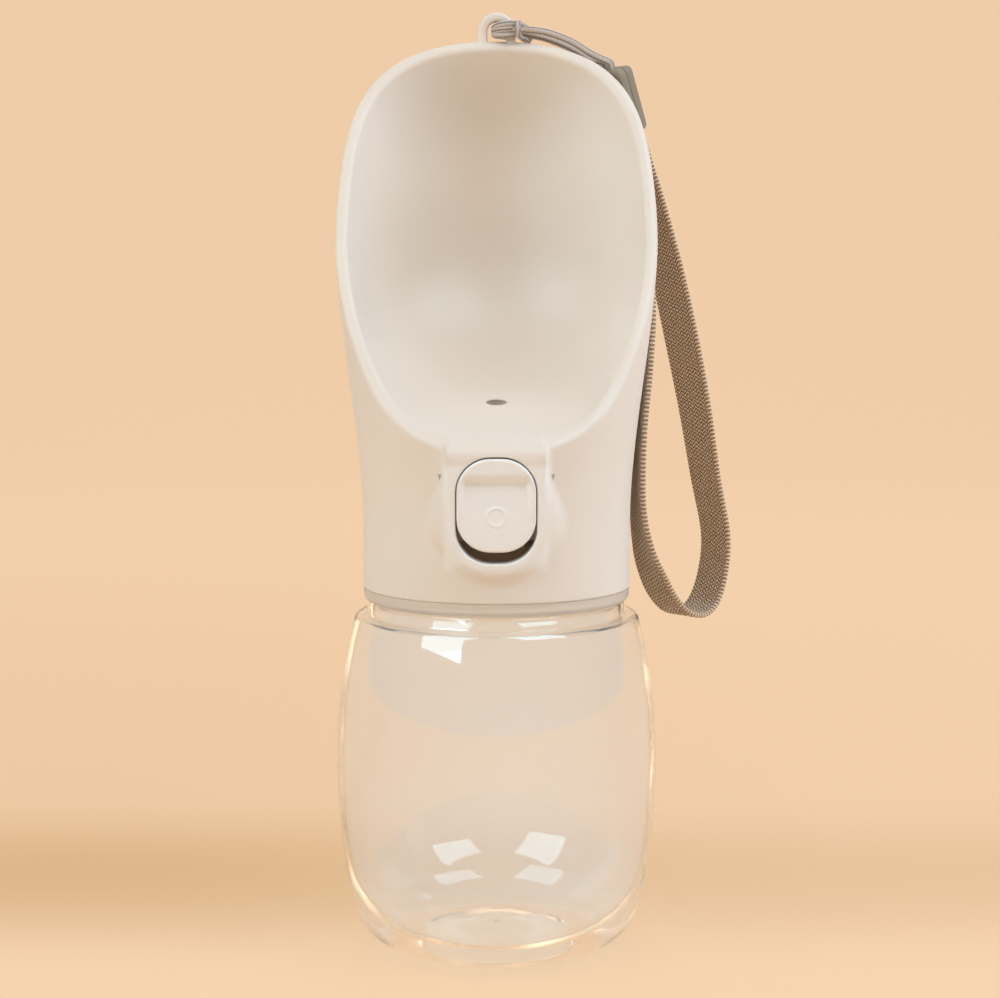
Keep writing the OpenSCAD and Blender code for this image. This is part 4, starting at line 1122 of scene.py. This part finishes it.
def clasp_slab(form, name, ends, inset_w, inset_l, corner, edge):
    """Rounded slab of the clasp between two distances outwards, inset from the clasp's sides."""
    low, high = sorted(ends)
    half_w, half_l = CLASP_W / 2 - inset_w, CLASP_L / 2 - inset_l
    rings = []
    for out, grow in ((low, -edge), (low + edge * 0.3, -edge * 0.3), (low + edge, 0), (high - edge, 0),
                      (high - edge * 0.3, -edge * 0.3), (high, -edge)):
        outline = squircle(half_w + grow, half_l + grow, corner, 64)
        rings.append([clasp_point(form, out, p.x, p.y) for p in outline])
    return loft(name, rings)


def make_clasp_half(form, name, side):
    """One half of the clasp, with a sunk panel in its face. Side is 1 for the outer half, or -1."""
    face = side * CLASP_T / 2
    piece = clasp_slab(form, name, (0, face), 0, 0, 1.3 * MM, 0.3 * MM)
    sunk = (face - side * 0.3 * MM, face + side * 1 * MM)
    cut_away(piece, clasp_slab(form, "panel_cutter", sunk, 1.5 * MM, 1.9 * MM, 1.2 * MM, 0.12 * MM))
    finish_mesh(piece)
    return piece


# Camera: its place, its lens in millimetres and how far it looks down
CAMERA_PLACE = (0.0008, -0.505, 0.157)
CAMERA_LENS = 79.45
CAMERA_DIP = radians(6.1)
# Point that the lamps look at, and their distance from it
LAMP_AIM = Vector((0, 0, 0.12))
LAMP_DISTANCE = 1.15
# Lamps: name, azimuth from the front and elevation in degrees, width, height, power and colour, and
# whether glossy surfaces mirror the lamp, in which case matt surfaces take no light from it
LAMPS = [
    ("left_softbox", -44, 33, 0.72, 0.95, 19.0, (0.50, 0.84, 1.0), True),
    ("right_softbox", 42, 46, 0.72, 0.95, 19.0, (0.50, 0.84, 1.0), True),
    ("left_light", -66, 20, 0.7, 0.7, 5.0, (0.64, 0.84, 0.95), False),
    ("left_top_light", -50, 60, 0.6, 0.6, 1.9, (0.88, 0.92, 0.92), False),
    ("top_light", -10, 60, 0.6, 0.6, 1.7, (0.92, 0.87, 0.92), False),
    ("right_top_light", 68, 48, 0.7, 0.7, 4.8, (0.73, 0.84, 0.93), False),
    ("right_light", 75, 10, 0.6, 0.6, 4.3, (0.44, 0.68, 0.95), False),
    ("right_rear_light", 108, 25, 0.6, 0.6, 2.1, (0.60, 0.80, 0.95), False),
    ("rear_light", 180, 50, 0.6, 0.6, 2.8, (0.80, 0.88, 0.95), False),
]


def add_backdrop(rgb):
    """Seamless paper: a level floor that bends up into a wall."""
    width, near, far, rise, bend = 8.0, -2.5, 2.2, 3.2, 1.0
    outline = [(near, 0.0), *arc(far - bend, bend, bend, -90, 0, 24), (far, rise)]
    clear_selection()
    bpy.ops.mesh.primitive_grid_add(x_subdivisions=1, y_subdivisions=len(outline) - 1)
    backdrop = name_new("studio_floor")
    rows = sorted({round(v.co.y, 6) for v in backdrop.data.vertices})
    for vertex in backdrop.data.vertices:
        y, z = outline[rows.index(round(vertex.co.y, 6))]
        vertex.co = (copysign(width / 2, vertex.co.x), y, z)
    bpy.ops.object.shade_smooth()
    backdrop.data.materials.append(studio_paper("studio_paper", rgb))


def add_world(rgb):
    """The room: warm light on matt surfaces, cool light in reflections and through the clear
    bottle, and the backdrop's colour beyond the floor."""
    world = bpy.data.worlds.new("studio_fill")
    bpy.context.scene.world = world
    world.use_nodes = True
    fill = Finish("studio_fill", world.node_tree)
    shiny = fill.ray("Glossy").most(fill.ray("Transmission"))
    room = fill.blend(shiny, (0.41, 0.29, 0.17), (0.20, 0.48, 0.75))
    fill.feed(world.node_tree.nodes["Background"].inputs["Color"],
              fill.blend(fill.ray("Camera"), room, shade(rgb, 0.95)))


def add_lamp(name, azimuth, elevation, width, height, power, tint, mirrored):
    """Adds a rectangular lamp that looks at the object from a given side."""
    a, e = radians(azimuth), radians(elevation)
    away = Vector((sin(a) * cos(e), -cos(a) * cos(e), sin(e)))
    clear_selection()
    bpy.ops.object.light_add(type="AREA", location=LAMP_AIM + LAMP_DISTANCE * away)
    lamp = name_new(name)
    lamp.data.shape = "RECTANGLE"
    lamp.data.size, lamp.data.size_y = width, height
    lamp.data.energy = power
    lamp.data.color = tint
    lamp.visible_glossy = mirrored
    lamp.visible_diffuse = not mirrored
    lamp.visible_transmission = mirrored
    lamp.rotation_euler = away.to_track_quat("Z", "Y").to_euler()


def add_camera():
    """Camera at the photograph's viewing angle."""
    clear_selection()
    bpy.ops.object.camera_add(location=CAMERA_PLACE)
    camera = name_new("photo_camera")
    camera.data.sensor_width = 36
    camera.data.lens = CAMERA_LENS
    camera.data.clip_start = 0.01
    camera.rotation_euler = (radians(90) - CAMERA_DIP, 0, 0)
    bpy.context.scene.camera = camera


class WATERBOTTLE_OT_stage(bpy.types.Operator):
    """Adds the floor, the lamps and the camera"""
    bl_idname = "water_bottle.stage"
    bl_label = "Stage"

    def execute(self, context):
        add_backdrop(colours().backdrop)
        add_world(colours().backdrop)
        for lamp in LAMPS:
            add_lamp(*lamp)
        add_camera()
        return {"FINISHED"}


class WATERBOTTLE_OT_strap(bpy.types.Operator):
    """Models the cord, the clasp and the webbing"""
    bl_idname = "water_bottle.strap"
    bl_label = "Strap"

    def execute(self, context):
        c, s, form = colours(), sizes(), HeadForm()
        braid = braided_cord("cord_braid", c.cord)
        line = cord_line(form)
        cord = tube("strap_cord_braid", line, s.cord_d / 2, 16)
        dress(cord, braid, "head", "strap_cord", "strap_cord")
        hitch = dress(make_hitch(line), braid, "head", "strap_cord")
        knot = dress(make_knot(form), braid, "head", "strap_cord")
        plastic = moulded("clasp_plastic", c.clasp, 0.45, 0.08)
        for node, side in (("clasp_front", 1), ("clasp_back", -1)):
            half = make_clasp_half(form, node + "_shell", side)
            dress(half, plastic, "head", "clasp_plastic", node)
        path, turns = webbing_line(form)
        webbing = make_webbing(path, turns)
        weave = woven_webbing("webbing_weave", c.webbing)
        dress(webbing, weave, "head", "strap_webbing", "strap_webbing")
        run_lengths(line)[-1]
        run_lengths(path)[-1]
        return {"FINISHED"}


class WATERBOTTLE_OT_head(bpy.types.Operator):
    """Models the head with its trough, pad and lug"""
    bl_idname = "water_bottle.head"
    bl_label = "Head"

    def execute(self, context):
        form = HeadForm()
        # The head's colour carries painted light on the pad round the button and painted shade beside it
        shell = moulded("shell_plastic", colours().shell, 0.42, 0.05, head_painted_light_and_shade)
        dress(make_head(form), shell, "head", "head_plastic", "head_shell")
        dress(make_lug(form), shell, "head", "head_plastic")
        return {"FINISHED"}


class WATERBOTTLE_OT_button(bpy.types.Operator):
    """Models the button"""
    bl_idname = "water_bottle.button"
    bl_label = "Button"

    def execute(self, context):
        # The button's lighter colour is painted light
        plastic = moulded("button_plastic", colours().button, 0.5, 0.04)
        dress(make_button(), plastic, "button", "head_plastic", "button_cap")
        dress(make_button_boss(), plastic, "button", "head_plastic")
        return {"FINISHED"}


class WATERBOTTLE_OT_bottle(bpy.types.Operator):
    """Models the clear bottle"""
    bl_idname = "water_bottle.bottle"
    bl_label = "Bottle"

    def execute(self, context):
        clear = clear_plastic("bottle_plastic", colours().clear, 0.01, 0.945)
        dress(make_bottle(), clear, "bottle", "clear_plastic", "bottle")
        dress(make_neck_thread(), clear, "bottle", "clear_plastic")
        return {"FINISHED"}


class WATERBOTTLE_OT_works(bpy.types.Operator):
    """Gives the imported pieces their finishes"""
    bl_idname = "water_bottle.works"
    bl_label = "Works"

    def execute(self, context):
        black, grey = (0.035, 0.035, 0.037), (0.62, 0.64, 0.66)
        finishes = {
            "thread_collar": clear_plastic("collar_plastic", colours().collar, 0.35, 0.45, 0.06, 1.4, 0.3),
            "mouth_gasket": silicone("gasket_silicone", (0.78, 0.77, 0.72)),
            "vent_valve": silicone("vent_silicone", (0.80, 0.79, 0.75)),
            # Painted shade: the grommet is dark brown, standing in for the shade in the outlet hole
            "outlet_grommet": silicone("grommet_silicone", (0.30, 0.24, 0.20)),
            "inlet_seal": silicone("seal_rubber", black),
            "stem_seal": silicone("stem_seal_rubber", black),
            "valve_stopper": silicone("stopper_silicone", (0.72, 0.20, 0.10)),
            "valve_housing": moulded("housing_plastic", grey, 0.5),
            "seal_retainer": moulded("retainer_plastic", (0.55, 0.57, 0.58), 0.5),
            "spring_cap": moulded("plug_plastic", grey, 0.5),
            "valve_stem": moulded("stem_plastic", (0.50, 0.51, 0.53), 0.35),
            # Painted light: the carriage is light and pinkish so that the shade in the gap round the
            # button shows lighter and reddish
            "lock_carriage": moulded("carriage_plastic", (0.97, 0.85, 0.79), 0.55),
            "housing_screws": spring_steel("screw_steel"),
            "return_spring": spring_steel("return_spring_steel"),
            "button_spring": spring_steel("button_spring_steel"),
        }
        for node, finish in finishes.items():
            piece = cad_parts[node]
            if not piece.material_slots:
                piece.data.materials.append(finish)
            for material_slot in piece.material_slots:
                material_slot.material = finish
        return {"FINISHED"}


OPERATORS = [WATERBOTTLE_OT_stage, WATERBOTTLE_OT_strap, WATERBOTTLE_OT_head, WATERBOTTLE_OT_button,
             WATERBOTTLE_OT_bottle, WATERBOTTLE_OT_works]


class WATERBOTTLE_PT_pieces(bpy.types.Panel):
    """Lists the pieces of the water bottle"""
    bl_idname = "WATERBOTTLE_PT_pieces"
    bl_label = "Water Bottle"
    bl_space_type = "VIEW_3D"
    bl_region_type = "UI"
    bl_category = "Water Bottle"

    def draw(self, context):
        for operator in OPERATORS:
            self.layout.operator(operator.bl_idname)
        for group in (sizes(), colours()):
            for name in group.__annotations__:
                self.layout.prop(group, name)


CLASSES = [BottleSizes, BottleColours, *OPERATORS, WATERBOTTLE_PT_pieces]


def register():
    for item in CLASSES:
        bpy.utils.register_class(item)
    setattr(bpy.types.Scene, SIZES, bpy.props.PointerProperty(type=BottleSizes))
    setattr(bpy.types.Scene, COLOURS, bpy.props.PointerProperty(type=BottleColours))


def unregister():
    delattr(bpy.types.Scene, COLOURS)
    delattr(bpy.types.Scene, SIZES)
    for item in reversed(CLASSES):
        bpy.utils.unregister_class(item)


def main():
    """Builds everything in order."""
    register()
    bpy.context.scene.view_settings.view_transform = "Standard"
    for step in ("stage", "strap", "head", "button", "bottle", "works"):
        getattr(bpy.ops.water_bottle, step)()


if __name__ == "__main__":
    main()
